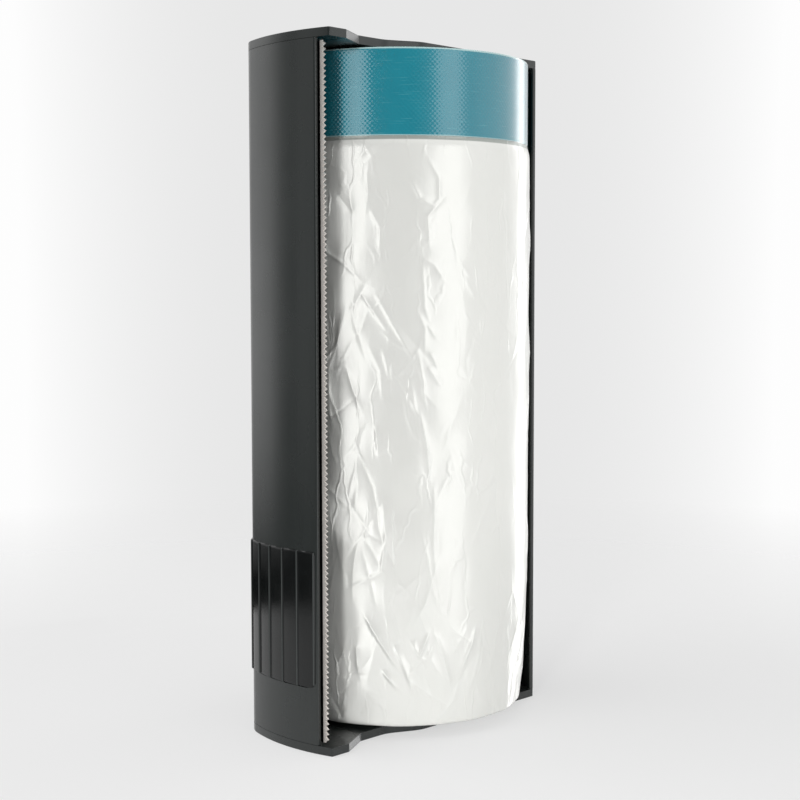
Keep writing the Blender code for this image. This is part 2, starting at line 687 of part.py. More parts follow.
# The model's origin is under the middle of its box, and the roll turns about its own axis
FRONT_TURN = (-math.pi / 2 - SHEET_END_ANGLE) / math.tau % 1
left = min(u for u, v in pad_ribs())
right = ROLL_AXIS[0] + BACK_RADIUS
front = ROLL_AXIS[1] - film_radius(FRONT_TURN, FILM_TOP - FILM_EDGE_ROUND)
back = ROLL_AXIS[1] + BACK_RADIUS
FRAME = empty("dispenser_frame", (-(left + right) / 2, -(front + back) / 2, 0))
ROLL_FRAME = empty("roll_axis", (*ROLL_AXIS, 0), FRAME)

case_shell()
grip_pad()
serrated_blade()
for end, face, inward in (("top", CASE_HEIGHT, -1), ("bottom", 0, 1)):
    end_cap(f"{end}_end_cap", face, inward)
    cap_screws(f"{end}_cap_screw", face, inward)
    core_plug(f"{end}_core_plug", face, inward)
core_tube()
winding("tape_winding", [TAPE_BOTTOM, ROLL_TOP], tape_radius, TAPE_CLOTH)
winding("film_winding", film_levels(), film_radius, FILM_PLASTIC)
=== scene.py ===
import math

import bmesh
import bpy
import numpy as np
from mathutils import Matrix, Vector


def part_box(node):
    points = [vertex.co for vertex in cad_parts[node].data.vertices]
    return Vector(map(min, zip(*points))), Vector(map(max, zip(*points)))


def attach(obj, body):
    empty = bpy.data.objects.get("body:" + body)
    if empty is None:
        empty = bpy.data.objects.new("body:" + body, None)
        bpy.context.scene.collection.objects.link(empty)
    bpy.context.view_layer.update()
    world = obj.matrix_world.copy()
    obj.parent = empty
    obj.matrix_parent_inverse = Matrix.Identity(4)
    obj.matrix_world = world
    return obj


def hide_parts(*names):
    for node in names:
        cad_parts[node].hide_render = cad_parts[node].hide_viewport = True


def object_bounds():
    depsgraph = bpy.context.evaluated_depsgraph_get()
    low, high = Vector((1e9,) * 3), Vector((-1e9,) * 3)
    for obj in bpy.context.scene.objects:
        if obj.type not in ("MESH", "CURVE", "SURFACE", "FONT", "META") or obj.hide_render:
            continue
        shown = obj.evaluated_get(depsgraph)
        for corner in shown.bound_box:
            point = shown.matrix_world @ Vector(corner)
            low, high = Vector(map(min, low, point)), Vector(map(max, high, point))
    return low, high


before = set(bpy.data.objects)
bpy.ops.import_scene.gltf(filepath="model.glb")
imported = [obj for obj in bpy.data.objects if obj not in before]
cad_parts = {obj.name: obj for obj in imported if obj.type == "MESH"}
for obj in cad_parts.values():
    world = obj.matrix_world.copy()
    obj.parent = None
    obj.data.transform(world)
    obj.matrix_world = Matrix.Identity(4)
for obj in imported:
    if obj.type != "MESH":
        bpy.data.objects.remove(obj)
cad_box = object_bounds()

# Case shell and end caps
# A curved trough with a flat cap at each end, moulded in black ABS. The steel tool was given
# a fine satin texture, and faint lines run up the wall along the way it left the tool.
MM = 0.001
SATIN_GRAIN = 0.5 * MM        # the real grain is 0.1 mm, drawn coarser so that it shows
SATIN_DEPTH = 0.02 * MM
DRAW_LINE_WIDTH = 3 * MM
DRAW_LINE_STRETCH = 0.02
DRAW_LINE_DEPTH = 0.03 * MM
SMUDGE = 18 * MM
CURVE_ANGLE = math.radians(35)
WELD = 0.005 * MM


def linear(code):
    """Linear colour of an sRGB hex value."""
    shares = [int(code[i:i + 2], 16) / 255 for i in (1, 3, 5)]
    light = [c / 12.92 if c <= 0.04045 else ((c + 0.055) / 1.055) ** 2.4 for c in shares]
    return (*light, 1.0)


def add(tree, kind, values=None, links=None, **settings):
    """Add a node with its settings, its sockets' values and the links into it."""
    made = tree.nodes.new(kind)
    for name, value in settings.items():
        setattr(made, name, value)
    for socket, value in (values or {}).items():
        made.inputs[socket].default_value = value
    for socket, source in (links or {}).items():
        tree.links.new(source, made.inputs[socket])
    return made


def substance(name, values):
    """Material whose Principled shader holds these values."""
    made = bpy.data.materials.new(name)
    made.use_nodes = True
    shader = made.node_tree.nodes["Principled BSDF"]
    for socket, value in values.items():
        shader.inputs[socket].default_value = value
    return made, made.node_tree, shader


def wear(node_name, material):
    """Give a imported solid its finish, and shade its curves smooth between sharp edges."""
    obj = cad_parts[node_name]
    obj.data.materials.clear()
    obj.data.materials.append(material)
    curves = obj.modifiers.new("smooth_curves", "NODES")
    curves.node_group = smooth_curves
    normals = obj.modifiers.new("flat_faces_stay_flat", "WEIGHTED_NORMAL")
    normals.keep_sharp = True
    return obj


smooth_curves = bpy.data.node_groups.new("smooth_curves", "GeometryNodeTree")
smooth_curves.interface.new_socket("Geometry", in_out="INPUT", socket_type="NodeSocketGeometry")
smooth_curves.interface.new_socket("Geometry", in_out="OUTPUT", socket_type="NodeSocketGeometry")
facets = add(smooth_curves, "NodeGroupInput")
welded = add(
    smooth_curves, "GeometryNodeMergeByDistance", {"Distance": WELD}, {"Geometry": facets.outputs[0]}
)
plain = add(
    smooth_curves, "GeometryNodeRemoveAttribute", {"Name": "custom_normal"},
    {"Geometry": welded.outputs["Geometry"]},
)
faces = add(
    smooth_curves, "GeometryNodeSetShadeSmooth", {"Shade Smooth": True},
    {"Geometry": plain.outputs["Geometry"]}, domain="FACE",
)
fold = add(smooth_curves, "GeometryNodeInputMeshEdgeAngle")
shallow = add(
    smooth_curves, "FunctionNodeCompare", {"B": CURVE_ANGLE}, {"A": fold.outputs["Unsigned Angle"]},
    data_type="FLOAT", operation="LESS_THAN",
)
edges = add(
    smooth_curves, "GeometryNodeSetShadeSmooth", None,
    {"Geometry": faces.outputs["Geometry"], "Shade Smooth": shallow.outputs["Result"]}, domain="EDGE",
)
add(smooth_curves, "NodeGroupOutput", None, {"Geometry": edges.outputs["Geometry"]})

# Satin black plastic: dark and even, with soft reflections that streak a little along the wall
satin_abs, tree, shader = substance("satin_moulded_black_abs", {"IOR": 1.53})
place = add(tree, "ShaderNodeTexCoord").outputs["Object"]
grain = add(tree, "ShaderNodeTexNoise", {"Scale": 1 / SATIN_GRAIN, "Detail": 3.0}, {"Vector": place})
drawn = add(tree, "ShaderNodeMapping", {"Scale": (1.0, 1.0, DRAW_LINE_STRETCH)}, {"Vector": place})
lines = add(
    tree, "ShaderNodeTexNoise", {"Scale": 1 / DRAW_LINE_WIDTH, "Detail": 4.0, "Roughness": 0.6},
    {"Vector": drawn.outputs["Vector"]},
)
smudges = add(tree, "ShaderNodeTexNoise", {"Scale": 1 / SMUDGE, "Detail": 5.0}, {"Vector": place})
tone = add(
    tree, "ShaderNodeMix", {"A": linear("#1e2322"), "B": linear("#272b2a")},
    {"Factor": lines.outputs["Fac"]}, data_type="RGBA",
)
gloss = add(
    tree, "ShaderNodeMapRange", {"From Min": 0.3, "From Max": 0.7, "To Min": 0.23, "To Max": 0.31},
    {"Value": smudges.outputs["Fac"]},
)
line_relief = add(
    tree, "ShaderNodeBump", {"Strength": 0.25, "Distance": DRAW_LINE_DEPTH},
    {"Height": lines.outputs["Fac"]},
)
relief = add(
    tree, "ShaderNodeBump", {"Strength": 0.2, "Distance": SATIN_DEPTH},
    {"Height": grain.outputs["Fac"], "Normal": line_relief.outputs["Normal"]},
)
tree.links.new(tone.outputs["Result"], shader.inputs["Base Color"])
tree.links.new(gloss.outputs["Result"], shader.inputs["Roughness"])
tree.links.new(relief.outputs["Normal"], shader.inputs["Normal"])
for part in ("case_shell", "top_end_cap", "bottom_end_cap"):
    wear(part, satin_abs)

# Grip pad
# Six shallow ribs like roof shingles, moulded in a black soft-touch TPE and pressed into a
# recess low on the grip wall and round its corner. Each rib rises towards the opening, and a
# thin lip laps over the recess's top and front edges.
GRIP_RADIUS = 58 * MM
GRIP_BOW = 1.9 * MM
CORNER_RADIUS = 10 * MM
CORNER_ANGLE = math.radians(160)
CASE_BACK_RADIUS = 44.8 * MM
RECESS_FRONT = 6.7 * MM
PAD_LIP = 1.1 * MM
PAD_FRONT = RECESS_FRONT - PAD_LIP
PAD_FILL = 0.2 * MM           # the soft pad fills the recess's clearance
RIB_PITCH = 6.3 * MM
RIB_COUNT = 6
RIB_HIGH = 0.6 * MM
RIB_LOW = 0.15 * MM
RIB_RISE = 0.35 * MM
CREST_ROUND = 0.12 * MM
CREST_SAMPLES = 5
PAD_DEPTH = 0.5 * MM
PAD_THINNEST = 0.02 * MM
PAD_CORNER = 2.2 * MM
PAD_TOP_CORNER = 1.0 * MM
PAD_EDGE = 0.4 * MM
CORNER_FOLD = 4 * MM          # how far from its ends the pad's rows bend into its corners
CREST_HIGHLIGHT_WIDTH = 0.22 * MM        # how wide the painted highlight along each crest is
PAD_GRAIN = 0.35 * MM
PAD_GRAIN_DEPTH = 0.03 * MM
PAD_PATCH = 6 * MM
PAD_COLUMNS = 240
PAD_ROWS = 120
END_CROWDING = 0.35           # how much the rows crowd towards the pad's ends


def skin(name, points, material, closed_up=False, body=None, around=None, up=None):
    """Mesh over a grid of points, whose columns close round, with real lengths as its UV map."""
    rows, columns, _ = points.shape
    mesh = bpy.data.meshes.new(name)
    index = np.arange(rows * columns).reshape(rows, columns)
    low = index if closed_up else index[:-1]
    high = np.roll(index, -1, axis=0) if closed_up else index[1:]
    quads = np.stack([low, np.roll(low, -1, axis=1), np.roll(high, -1, axis=1), high], axis=-1)
    mesh.from_pydata(points.reshape(-1, 3), [], quads.reshape(-1, 4))
    if around is not None:
        lengths = np.stack([around, up], axis=-1).reshape(-1, 2)
        loops = np.empty(len(mesh.loops), dtype=np.int32)
        mesh.loops.foreach_get("vertex_index", loops)
        chart = mesh.uv_layers.new(name="lengths")
        chart.uv.foreach_set("vector", lengths[loops].astype(np.float32).ravel())
    mesh.shade_smooth()
    obj = bpy.data.objects.new(name, mesh)
    bpy.context.scene.collection.objects.link(obj)
    obj.data.materials.append(material)
    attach(obj, body)
    return obj


case_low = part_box("bottom_end_cap")[0]
pad_low, pad_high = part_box("grip_pad")
core_low, core_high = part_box("core_tube")
ROLL_AXIS = (core_low + core_high) / 2
grip_x = case_low.x + GRIP_RADIUS
grip_y = case_low.y + math.sqrt(GRIP_RADIUS ** 2 - (GRIP_RADIUS - GRIP_BOW) ** 2)
corner_x = grip_x + (GRIP_RADIUS - CORNER_RADIUS) * math.cos(CORNER_ANGLE)
corner_y = grip_y + (GRIP_RADIUS - CORNER_RADIUS) * math.sin(CORNER_ANGLE)
off_roll = Vector((corner_x - ROLL_AXIS.x, corner_y - ROLL_AXIS.y))
to_flat = math.acos((CASE_BACK_RADIUS - CORNER_RADIUS) / off_roll.length)
FLAT_ANGLE = math.atan2(off_roll.y, off_roll.x) - to_flat
pad_start = math.pi - math.asin((case_low.y + PAD_FRONT - grip_y) / GRIP_RADIUS)
pad_straight = GRIP_RADIUS * (pad_start - CORNER_ANGLE)
pad_round = pad_straight + CORNER_RADIUS * (CORNER_ANGLE - FLAT_ANGLE)
pad_run = RIB_PITCH * RIB_COUNT
pad_base = pad_low.z - PAD_FILL
pad_height = pad_high.z - pad_base + PAD_LIP


def pad_places(run, height, z):
    """Places on the pad at a run along the wall, a height off its face, and a level."""
    on_wall = run < pad_straight
    turned = np.maximum(CORNER_ANGLE - (run - pad_straight) / CORNER_RADIUS, FLAT_ANGLE)
    angle = np.where(on_wall, pad_start - run / GRIP_RADIUS, turned)
    radius = np.where(on_wall, GRIP_RADIUS, CORNER_RADIUS) + height
    flat = np.maximum(run - pad_round, 0)
    x = np.where(on_wall, grip_x, corner_x) + radius * np.cos(angle) + flat * math.sin(FLAT_ANGLE)
    y = np.where(on_wall, grip_y, corner_y) + radius * np.sin(angle) - flat * math.cos(FLAT_ANGLE)
    return np.stack([x, y, z + 0 * x], axis=-1)


def rib_height(run):
    """Height of the shingled ribs, with their crests rounded off."""
    total = 0
    for shift in np.linspace(-CREST_ROUND, CREST_ROUND, CREST_SAMPLES):
        place = np.clip(run + shift, 0, pad_run - CREST_ROUND) % RIB_PITCH
        slope = (RIB_HIGH - RIB_LOW) / (RIB_PITCH - RIB_RISE)
        rise = (RIB_HIGH - RIB_LOW) / RIB_RISE
        total = total + np.minimum(RIB_LOW + place * rise, RIB_HIGH - (place - RIB_RISE) * slope)
    return total / CREST_SAMPLES


share = 0.5 - 0.5 * np.cos(np.linspace(0, math.pi, PAD_ROWS))
level = (END_CROWDING * share + (1 - END_CROWDING) * np.linspace(0, 1, PAD_ROWS)) * pad_height
end_run = np.minimum(level, pad_height - level)
corner = np.where(level < pad_height / 2, PAD_CORNER, PAD_TOP_CORNER)
corner_set_in = corner - np.sqrt(np.maximum(corner ** 2 - np.maximum(corner - end_run, 0) ** 2, 0))
sample = np.linspace(0, pad_run, PAD_COLUMNS)
near_front = np.maximum(CORNER_FOLD - sample, 0) / CORNER_FOLD
near_back = np.maximum(sample - pad_run + CORNER_FOLD, 0) / CORNER_FOLD
run = sample[None, :] + corner_set_in[:, None] * (near_front - near_back)[None, :]
side = np.minimum(run, pad_run - run)
end = end_run[:, None] + 0 * run
corner = corner[:, None]
in_corner = (side < corner) & (end < corner)
to_edge = np.where(in_corner, corner - np.hypot(corner - side, corner - end), np.minimum(side, end))
edge_drop = PAD_EDGE - np.sqrt(np.maximum(PAD_EDGE ** 2 - np.maximum(PAD_EDGE - to_edge, 0) ** 2, 0))
on_lip = (run < PAD_LIP) | (level[:, None] > pad_height - PAD_LIP)
under = np.where(on_lip, 0, -PAD_DEPTH)
face = np.maximum(rib_height(run) - edge_drop, under + PAD_THINNEST)
outer = pad_places(run, face, pad_base + level[:, None])
inner = pad_places(run, under, pad_base + level[:, None])
pad_grid = np.concatenate([outer, inner[:, ::-1]], axis=1)

# Soft black TPE: close to matt black, with a painted highlight in dull grey along each crest
soft_tpe, tree, shader = substance("moulded_black_tpe", {"IOR": 1.38})
place = add(tree, "ShaderNodeTexCoord").outputs["Object"]
grain = add(tree, "ShaderNodeTexNoise", {"Scale": 1 / PAD_GRAIN, "Detail": 3.0}, {"Vector": place})
cloud = add(tree, "ShaderNodeTexNoise", {"Scale": 1 / PAD_PATCH, "Detail": 4.0}, {"Vector": place})
tone = add(
    tree, "ShaderNodeMix", {"A": linear("#101212"), "B": linear("#171919")},
    {"Factor": cloud.outputs["Fac"]}, data_type="RGBA",
)
chart = add(tree, "ShaderNodeUVMap", uv_map="lengths").outputs["UV"]
along = add(tree, "ShaderNodeSeparateXYZ", None, {"Vector": chart})
ribs = add(tree, "ShaderNodeMath", {1: RIB_PITCH}, {0: along.outputs["X"]}, operation="DIVIDE")
on_rib = add(tree, "ShaderNodeMath", None, {0: ribs.outputs["Value"]}, operation="FRACT")
off_crest = add(
    tree, "ShaderNodeMath", {1: RIB_RISE / RIB_PITCH}, {0: on_rib.outputs["Value"]}, operation="SUBTRACT"
)
from_crest = add(tree, "ShaderNodeMath", None, {0: off_crest.outputs["Value"]}, operation="ABSOLUTE")
# Painted highlight: a dull grey line along each rib's crest
painted_crest_highlight = add(
    tree, "ShaderNodeMapRange", {"From Max": CREST_HIGHLIGHT_WIDTH / RIB_PITCH, "To Min": 1.0, "To Max": 0.0},
    {"Value": from_crest.outputs["Value"]},
)
crest_highlighted = add(
    tree, "ShaderNodeMix", {"B": linear("#484c4b")},
    {"Factor": painted_crest_highlight.outputs["Result"], "A": tone.outputs["Result"]}, data_type="RGBA",
)
gloss = add(
    tree, "ShaderNodeMapRange", {"From Min": 0.3, "From Max": 0.7, "To Min": 0.1, "To Max": 0.15},
    {"Value": cloud.outputs["Fac"]},
)
relief = add(
    tree, "ShaderNodeBump", {"Strength": 0.2, "Distance": PAD_GRAIN_DEPTH},
    {"Height": grain.outputs["Fac"]},
)
tree.links.new(crest_highlighted.outputs["Result"], shader.inputs["Base Color"])
tree.links.new(gloss.outputs["Result"], shader.inputs["Roughness"])
tree.links.new(relief.outputs["Normal"], shader.inputs["Normal"])

run_round = np.concatenate([run, run[:, ::-1]], axis=1)
pad = skin(
    "ribbed_grip", pad_grid, soft_tpe, body="case", around=run_round, up=level[:, None] + 0 * run_round
)
ends = bmesh.new()
ends.from_mesh(pad.data)
ends.verts.ensure_lookup_table()
across = 2 * PAD_COLUMNS
for row, flip in ((0, True), (PAD_ROWS - 1, False)):
    for column in range(PAD_COLUMNS - 1):
        corners = [column, column + 1, across - 2 - column, across - 1 - column]
        corners = [ends.verts[row * across + c] for c in corners]
        ends.faces.new(corners[::-1] if flip else corners)
bmesh.ops.recalc_face_normals(ends, faces=ends.faces)
ends.to_mesh(pad.data)
ends.free()
pad.data.shade_smooth()
pad.data.set_sharp_from_angle(angle=CURVE_ANGLE)
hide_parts("grip_pad")

# Serrated blade
# A strip of hardened spring steel, half a millimetre thick, with stamped teeth. It was rolled
# and ground along its length, which leaves fine lines and a soft grey shine.
GRIND_LINE = 0.35 * MM
GRIND_STRETCH = 0.01
GRIND_DEPTH = 0.02 * MM
STEEL_PATCH = 9 * MM
WALL_FRONT = 4.8 * MM         # from the case's front to the edge of the wall
WALL_EDGE_SHADE = 0.32 * MM         # painted shade: the strip is drawn near black where it meets the wall's front edge
ground_steel, tree, shader = substance("ground_spring_steel", {"Metallic": 0.5})
place = add(tree, "ShaderNodeTexCoord").outputs["Object"]
drawn = add(tree, "ShaderNodeMapping", {"Scale": (1.0, 1.0, GRIND_STRETCH)}, {"Vector": place})
lines = add(
    tree, "ShaderNodeTexNoise", {"Scale": 1 / GRIND_LINE, "Detail": 3.0}, {"Vector": drawn.outputs["Vector"]}
)
patches = add(tree, "ShaderNodeTexNoise", {"Scale": 1 / STEEL_PATCH, "Detail": 4.0}, {"Vector": place})
tone = add(
    tree, "ShaderNodeMix", {"A": linear("#d6d0ca"), "B": linear("#ede8e3")},
    {"Factor": patches.outputs["Fac"]}, data_type="RGBA",
)
across = add(tree, "ShaderNodeSeparateXYZ", None, {"Vector": place})
wall_edge = case_low.y + WALL_FRONT
# Painted shade: the strip turns near black just in front of the wall's edge, standing in for the shadowed gap
# beside the wall
wall_edge_shade_mask = add(
    tree, "ShaderNodeMapRange", {"From Min": wall_edge - WALL_EDGE_SHADE, "From Max": wall_edge - 0.8 * WALL_EDGE_SHADE},
    {"Value": across.outputs["Y"]},
)
wall_edge_shaded = add(
    tree, "ShaderNodeMix", {"B": linear("#0c0c0d")},
    {"Factor": wall_edge_shade_mask.outputs["Result"], "A": tone.outputs["Result"]}, data_type="RGBA",
)
gloss = add(
    tree, "ShaderNodeMapRange", {"To Min": 0.3, "To Max": 0.5}, {"Value": patches.outputs["Fac"]}
)
relief = add(
    tree, "ShaderNodeBump", {"Strength": 0.3, "Distance": GRIND_DEPTH}, {"Height": lines.outputs["Fac"]}
)
tree.links.new(wall_edge_shaded.outputs["Result"], shader.inputs["Base Color"])
tree.links.new(gloss.outputs["Result"], shader.inputs["Roughness"])
tree.links.new(relief.outputs["Normal"], shader.inputs["Normal"])
wear("serrated_blade", ground_steel)

# Core plugs
# Split barrels with a flange and a pull web, moulded in black nylon. They turn in the caps'
# bores, and the shine is duller and a little warmer than the case's.
NYLON_CLOUD = 4 * MM
NYLON_DEPTH = 0.03 * MM
dull_nylon, tree, shader = substance("moulded_black_nylon", {"Base Color": linear("#2a2a29"), "IOR": 1.53})
place = add(tree, "ShaderNodeTexCoord").outputs["Object"]
cloud = add(tree, "ShaderNodeTexNoise", {"Scale": 1 / NYLON_CLOUD, "Detail": 5.0}, {"Vector": place})
gloss = add(
    tree, "ShaderNodeMapRange", {"To Min": 0.34, "To Max": 0.5}, {"Value": cloud.outputs["Fac"]}
)
relief = add(
    tree, "ShaderNodeBump", {"Strength": 0.2, "Distance": NYLON_DEPTH}, {"Height": cloud.outputs["Fac"]}
)
tree.links.new(gloss.outputs["Result"], shader.inputs["Roughness"])
tree.links.new(relief.outputs["Normal"], shader.inputs["Normal"])
for part in ("top_core_plug", "bottom_core_plug"):
    wear(part, dull_nylon)

# Core tube
# Grey-brown board, wound in a spiral from strips of paper and glued. The strips' edges show as
# thin lines that climb round the tube, and the cut ends are fibrous.
BOARD_STRIP = 38 * MM
STRIP_EDGE_SHARE = 0.02
BOARD_FIBRE = 0.8 * MM
FIBRE_DEPTH = 0.08 * MM
wound_board, tree, shader = substance("spiral_wound_board", {"Roughness": 0.82, "IOR": 1.45})
place = add(tree, "ShaderNodeTexCoord").outputs["Object"]
centred = add(
    tree, "ShaderNodeVectorMath", {1: (-ROLL_AXIS.x, -ROLL_AXIS.y, 0)}, {0: place}, operation="ADD"
)
split = add(tree, "ShaderNodeSeparateXYZ", None, {"Vector": centred.outputs["Vector"]})
turn = add(
    tree, "ShaderNodeMath", None, {0: split.outputs["Y"], 1: split.outputs["X"]}, operation="ARCTAN2"
)
turns = add(tree, "ShaderNodeMath", {1: math.tau}, {0: turn.outputs["Value"]}, operation="DIVIDE")
climb = add(
    tree, "ShaderNodeMath", {1: 1 / BOARD_STRIP},
    {0: split.outputs["Z"], 2: turns.outputs["Value"]}, operation="MULTIPLY_ADD",
)
strip = add(tree, "ShaderNodeMath", None, {0: climb.outputs["Value"]}, operation="FRACT")
seam = add(
    tree, "ShaderNodeMath", {1: STRIP_EDGE_SHARE}, {0: strip.outputs["Value"]}, operation="GREATER_THAN"
)
fibres = add(tree, "ShaderNodeTexNoise", {"Scale": 1 / BOARD_FIBRE, "Detail": 6.0}, {"Vector": place})
paper = add(
    tree, "ShaderNodeMix", {"A": linear("#9c8468"), "B": linear("#b7a184")},
    {"Factor": fibres.outputs["Fac"]}, data_type="RGBA",
)
board = add(
    tree, "ShaderNodeMix", {"A": linear("#6d5a45")},
    {"Factor": seam.outputs["Value"], "B": paper.outputs["Result"]}, data_type="RGBA",
)
relief = add(
    tree, "ShaderNodeBump", {"Strength": 0.4, "Distance": FIBRE_DEPTH}, {"Height": fibres.outputs["Fac"]}
)
tree.links.new(board.outputs["Result"], shader.inputs["Base Color"])
tree.links.new(relief.outputs["Normal"], shader.inputs["Normal"])
wear("core_tube", wound_board)

# Cap screws
# Self-tapping screws of zinc-plated steel with pan heads and a cross recess. Two hold each cap
# to the ports in the shell, and their heads lie just below the cap's face. The plating is bright
# and a little cloudy.
SCREW_HEAD_RADIUS = 2.5 * MM
SCREW_HEAD_DEPTH = 1.3 * MM
SCREW_SHANK_RADIUS = 0.8 * MM
SCREW_THREAD_RADIUS = 1.0 * MM
SCREW_THREAD_PITCH = 1.1 * MM
SCREW_TIP = 1.5 * MM
CROSS_REACH = 1.5 * MM
CROSS_HALF_WIDTH = 0.28 * MM
CROSS_DEPTH = 0.9 * MM
CROSS_SLOPE = 0.18 * MM
HEAD_EDGE = 0.45 * MM
HEAD_MIDDLE_SHARE = 0.02      # of the head's radius, closed by one face
TIP_SHARE = 0.05              # of the shank's radius, left at its blunt point
PLATING_PATCH = 1.2 * MM
SCREW_COLUMNS = 72
HEAD_ROWS = 40
SHANK_ROWS = 70
plated_steel, tree, shader = substance("zinc_plated_steel", {"Metallic": 1.0})
place = add(tree, "ShaderNodeTexCoord").outputs["Object"]
tint = add(tree, "ShaderNodeTexNoise", {"Scale": 1 / PLATING_PATCH, "Detail": 4.0}, {"Vector": place})
tone = add(
    tree, "ShaderNodeMix", {"A": linear("#a9abae"), "B": linear("#c6c7c4")},
    {"Factor": tint.outputs["Fac"]}, data_type="RGBA",
)
gloss = add(tree, "ShaderNodeMapRange", {"To Min": 0.25, "To Max": 0.42}, {"Value": tint.outputs["Fac"]})
tree.links.new(tone.outputs["Result"], shader.inputs["Base Color"])
tree.links.new(gloss.outputs["Result"], shader.inputs["Roughness"])

turn = np.linspace(0, math.tau, SCREW_COLUMNS, endpoint=False)
for node in ("top_cap_screw_1", "top_cap_screw_2", "bottom_cap_screw_1", "bottom_cap_screw_2"):
    low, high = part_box(node)
    outward = 1 if node.startswith("top") else -1
    face_z = high.z if outward == 1 else low.z
    length = high.z - low.z
    radius = np.linspace(HEAD_MIDDLE_SHARE, 1, HEAD_ROWS)[:, None] * SCREW_HEAD_RADIUS
    x, y = radius * np.cos(turn), radius * np.sin(turn)
    short, long = np.minimum(abs(x), abs(y)), np.maximum(abs(x), abs(y))
    inside = np.minimum(CROSS_HALF_WIDTH - short, CROSS_REACH - long)
    sunk = CROSS_DEPTH * np.clip(inside / CROSS_SLOPE + 0.5, 0, 1) * (1 - 0.5 * long / CROSS_REACH)
    past = np.maximum(radius - SCREW_HEAD_RADIUS + HEAD_EDGE, 0)
    dome = HEAD_EDGE - np.sqrt(HEAD_EDGE ** 2 - past ** 2)
    head = np.stack([x, y, -sunk - dome], axis=-1)
    seat = np.stack([x[-1:], y[-1:], np.full((1, SCREW_COLUMNS), -SCREW_HEAD_DEPTH)], axis=-1)
    level = np.linspace(SCREW_HEAD_DEPTH, length, SHANK_ROWS)[:, None]
    ridge = 1 - abs(2 * ((level / SCREW_THREAD_PITCH - turn / math.tau) % 1) - 1)
    deep = SCREW_THREAD_RADIUS - SCREW_SHANK_RADIUS
    point = np.clip((length - level) / SCREW_TIP, TIP_SHARE, 1)
    reach = (SCREW_SHANK_RADIUS + deep * ridge ** 3) * point
    shank = np.stack([reach * np.cos(turn), reach * np.sin(turn), -level + 0 * turn], axis=-1)
    grid = np.concatenate([head, seat, shank])
    grid[..., 2] *= outward
    middle = (low + high) / 2
    grid += np.array([middle.x, middle.y, face_z])
    screw = skin(node.replace("cap_screw", "screw"), grid, plated_steel, body="case")
    closed = bmesh.new()
    closed.from_mesh(screw.data)
    bmesh.ops.holes_fill(closed, edges=[e for e in closed.edges if e.is_boundary])
    bmesh.ops.recalc_face_normals(closed, faces=closed.faces)
    closed.to_mesh(screw.data)
    closed.free()
    screw.data.set_sharp_from_angle(angle=CURVE_ANGLE)
    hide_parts(node)

# Tape
# Teal cloth tape, 25 mm wide, wound with half its width on the film's folded edge. The gloss
# coating follows the cloth, so small diamonds sparkle where a lamp is mirrored.
ROLL_RADIUS = 40.3 * MM
WINDING_BORE = 19.3 * MM
TAPE_STEP = 0.25 * MM
TAPE_EDGE = 0.15 * MM
TAPE_SWELL = 0.012 * MM
TAPE_INSET = 0.02 * MM        # keeps the swells within the tape's real radius
TAPE_RIM = 0.45 * MM          # the cut edges, where the cloth is not dyed
WOUND_HIGH = 0.45 * MM        # how far the sheet was wound off the core's middle
SHEET_END = math.radians(155)
DIAMOND = 1.4 * MM
DIAMOND_DEPTH = 0.03 * MM
THREAD = 0.35 * MM
THREAD_STRETCH = 0.045
THREAD_DEPTH = 0.02 * MM
DYE_PATCH = 11 * MM
TAPE_FOLD_ANGLE = math.radians(50)
TAPE_COLUMNS = 480
TAPE_ROWS = 44
TAPE_RINGS = 16
ROW_CROWDING = 0.3            # how much the rows crowd towards the tape's edges
tape_low, tape_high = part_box("tape_winding")


def around_roll(radius, turns, level):
    """Places at a radius from the roll's axis, at a share of a turn from the sheet's end."""
    angle = SHEET_END + turns * math.tau
    x = ROLL_AXIS.x + radius * np.cos(angle)
    y = ROLL_AXIS.y + radius * np.sin(angle)
    return np.stack(np.broadcast_arrays(x, y, level + 0 * angle), axis=-1)


def wound_section(outer_radius, outer_level, turns, rings):
    """Rows round a winding's section: up the outer face, across the top, down the bore, back."""
    inward = np.linspace(0, 1, rings)[1:, None]
    top_radius = outer_radius[-1] + (WINDING_BORE - outer_radius[-1]) * inward
    bottom_radius = WINDING_BORE + (outer_radius[0] - WINDING_BORE) * inward[:-1]
    bottom_radius = np.concatenate([np.full_like(bottom_radius[:1], WINDING_BORE), bottom_radius])
    radius = np.concatenate([outer_radius, top_radius, bottom_radius])
    level = np.concatenate([
        outer_level[:, None] + 0 * turns,
        outer_level[-1] + 0 * top_radius,
        outer_level[0] + 0 * bottom_radius,
    ])
    return around_roll(radius, turns, level), radius, level


draw = np.random.default_rng(7)
turns = np.linspace(0, 1, TAPE_COLUMNS, endpoint=False)[None, :]
share = np.linspace(0, 1, TAPE_ROWS)[:, None]
tape_width = tape_high.z - tape_low.z
rise = (0.5 - 0.5 * np.cos(share * math.pi)) * ROW_CROWDING + share * (1 - ROW_CROWDING)
to_edge = np.minimum(rise, 1 - rise) * tape_width
edge = TAPE_EDGE - np.sqrt(np.maximum(TAPE_EDGE ** 2 - np.maximum(TAPE_EDGE - to_edge, 0) ** 2, 0))
swell = 0
for count in (3, 5, 8, 13):
    phase, tilt = draw.uniform(0, 1, 2)
    swell = swell + np.sin((count * turns + phase + 0.2 * tilt * share) * math.tau) * TAPE_SWELL
radius = ROLL_RADIUS - TAPE_STEP * turns - edge + swell - TAPE_INSET
tape_base = tape_low.z + WOUND_HIGH
grid, radius, level = wound_section(radius, (tape_base + rise * tape_width)[:, 0], turns, TAPE_RINGS)

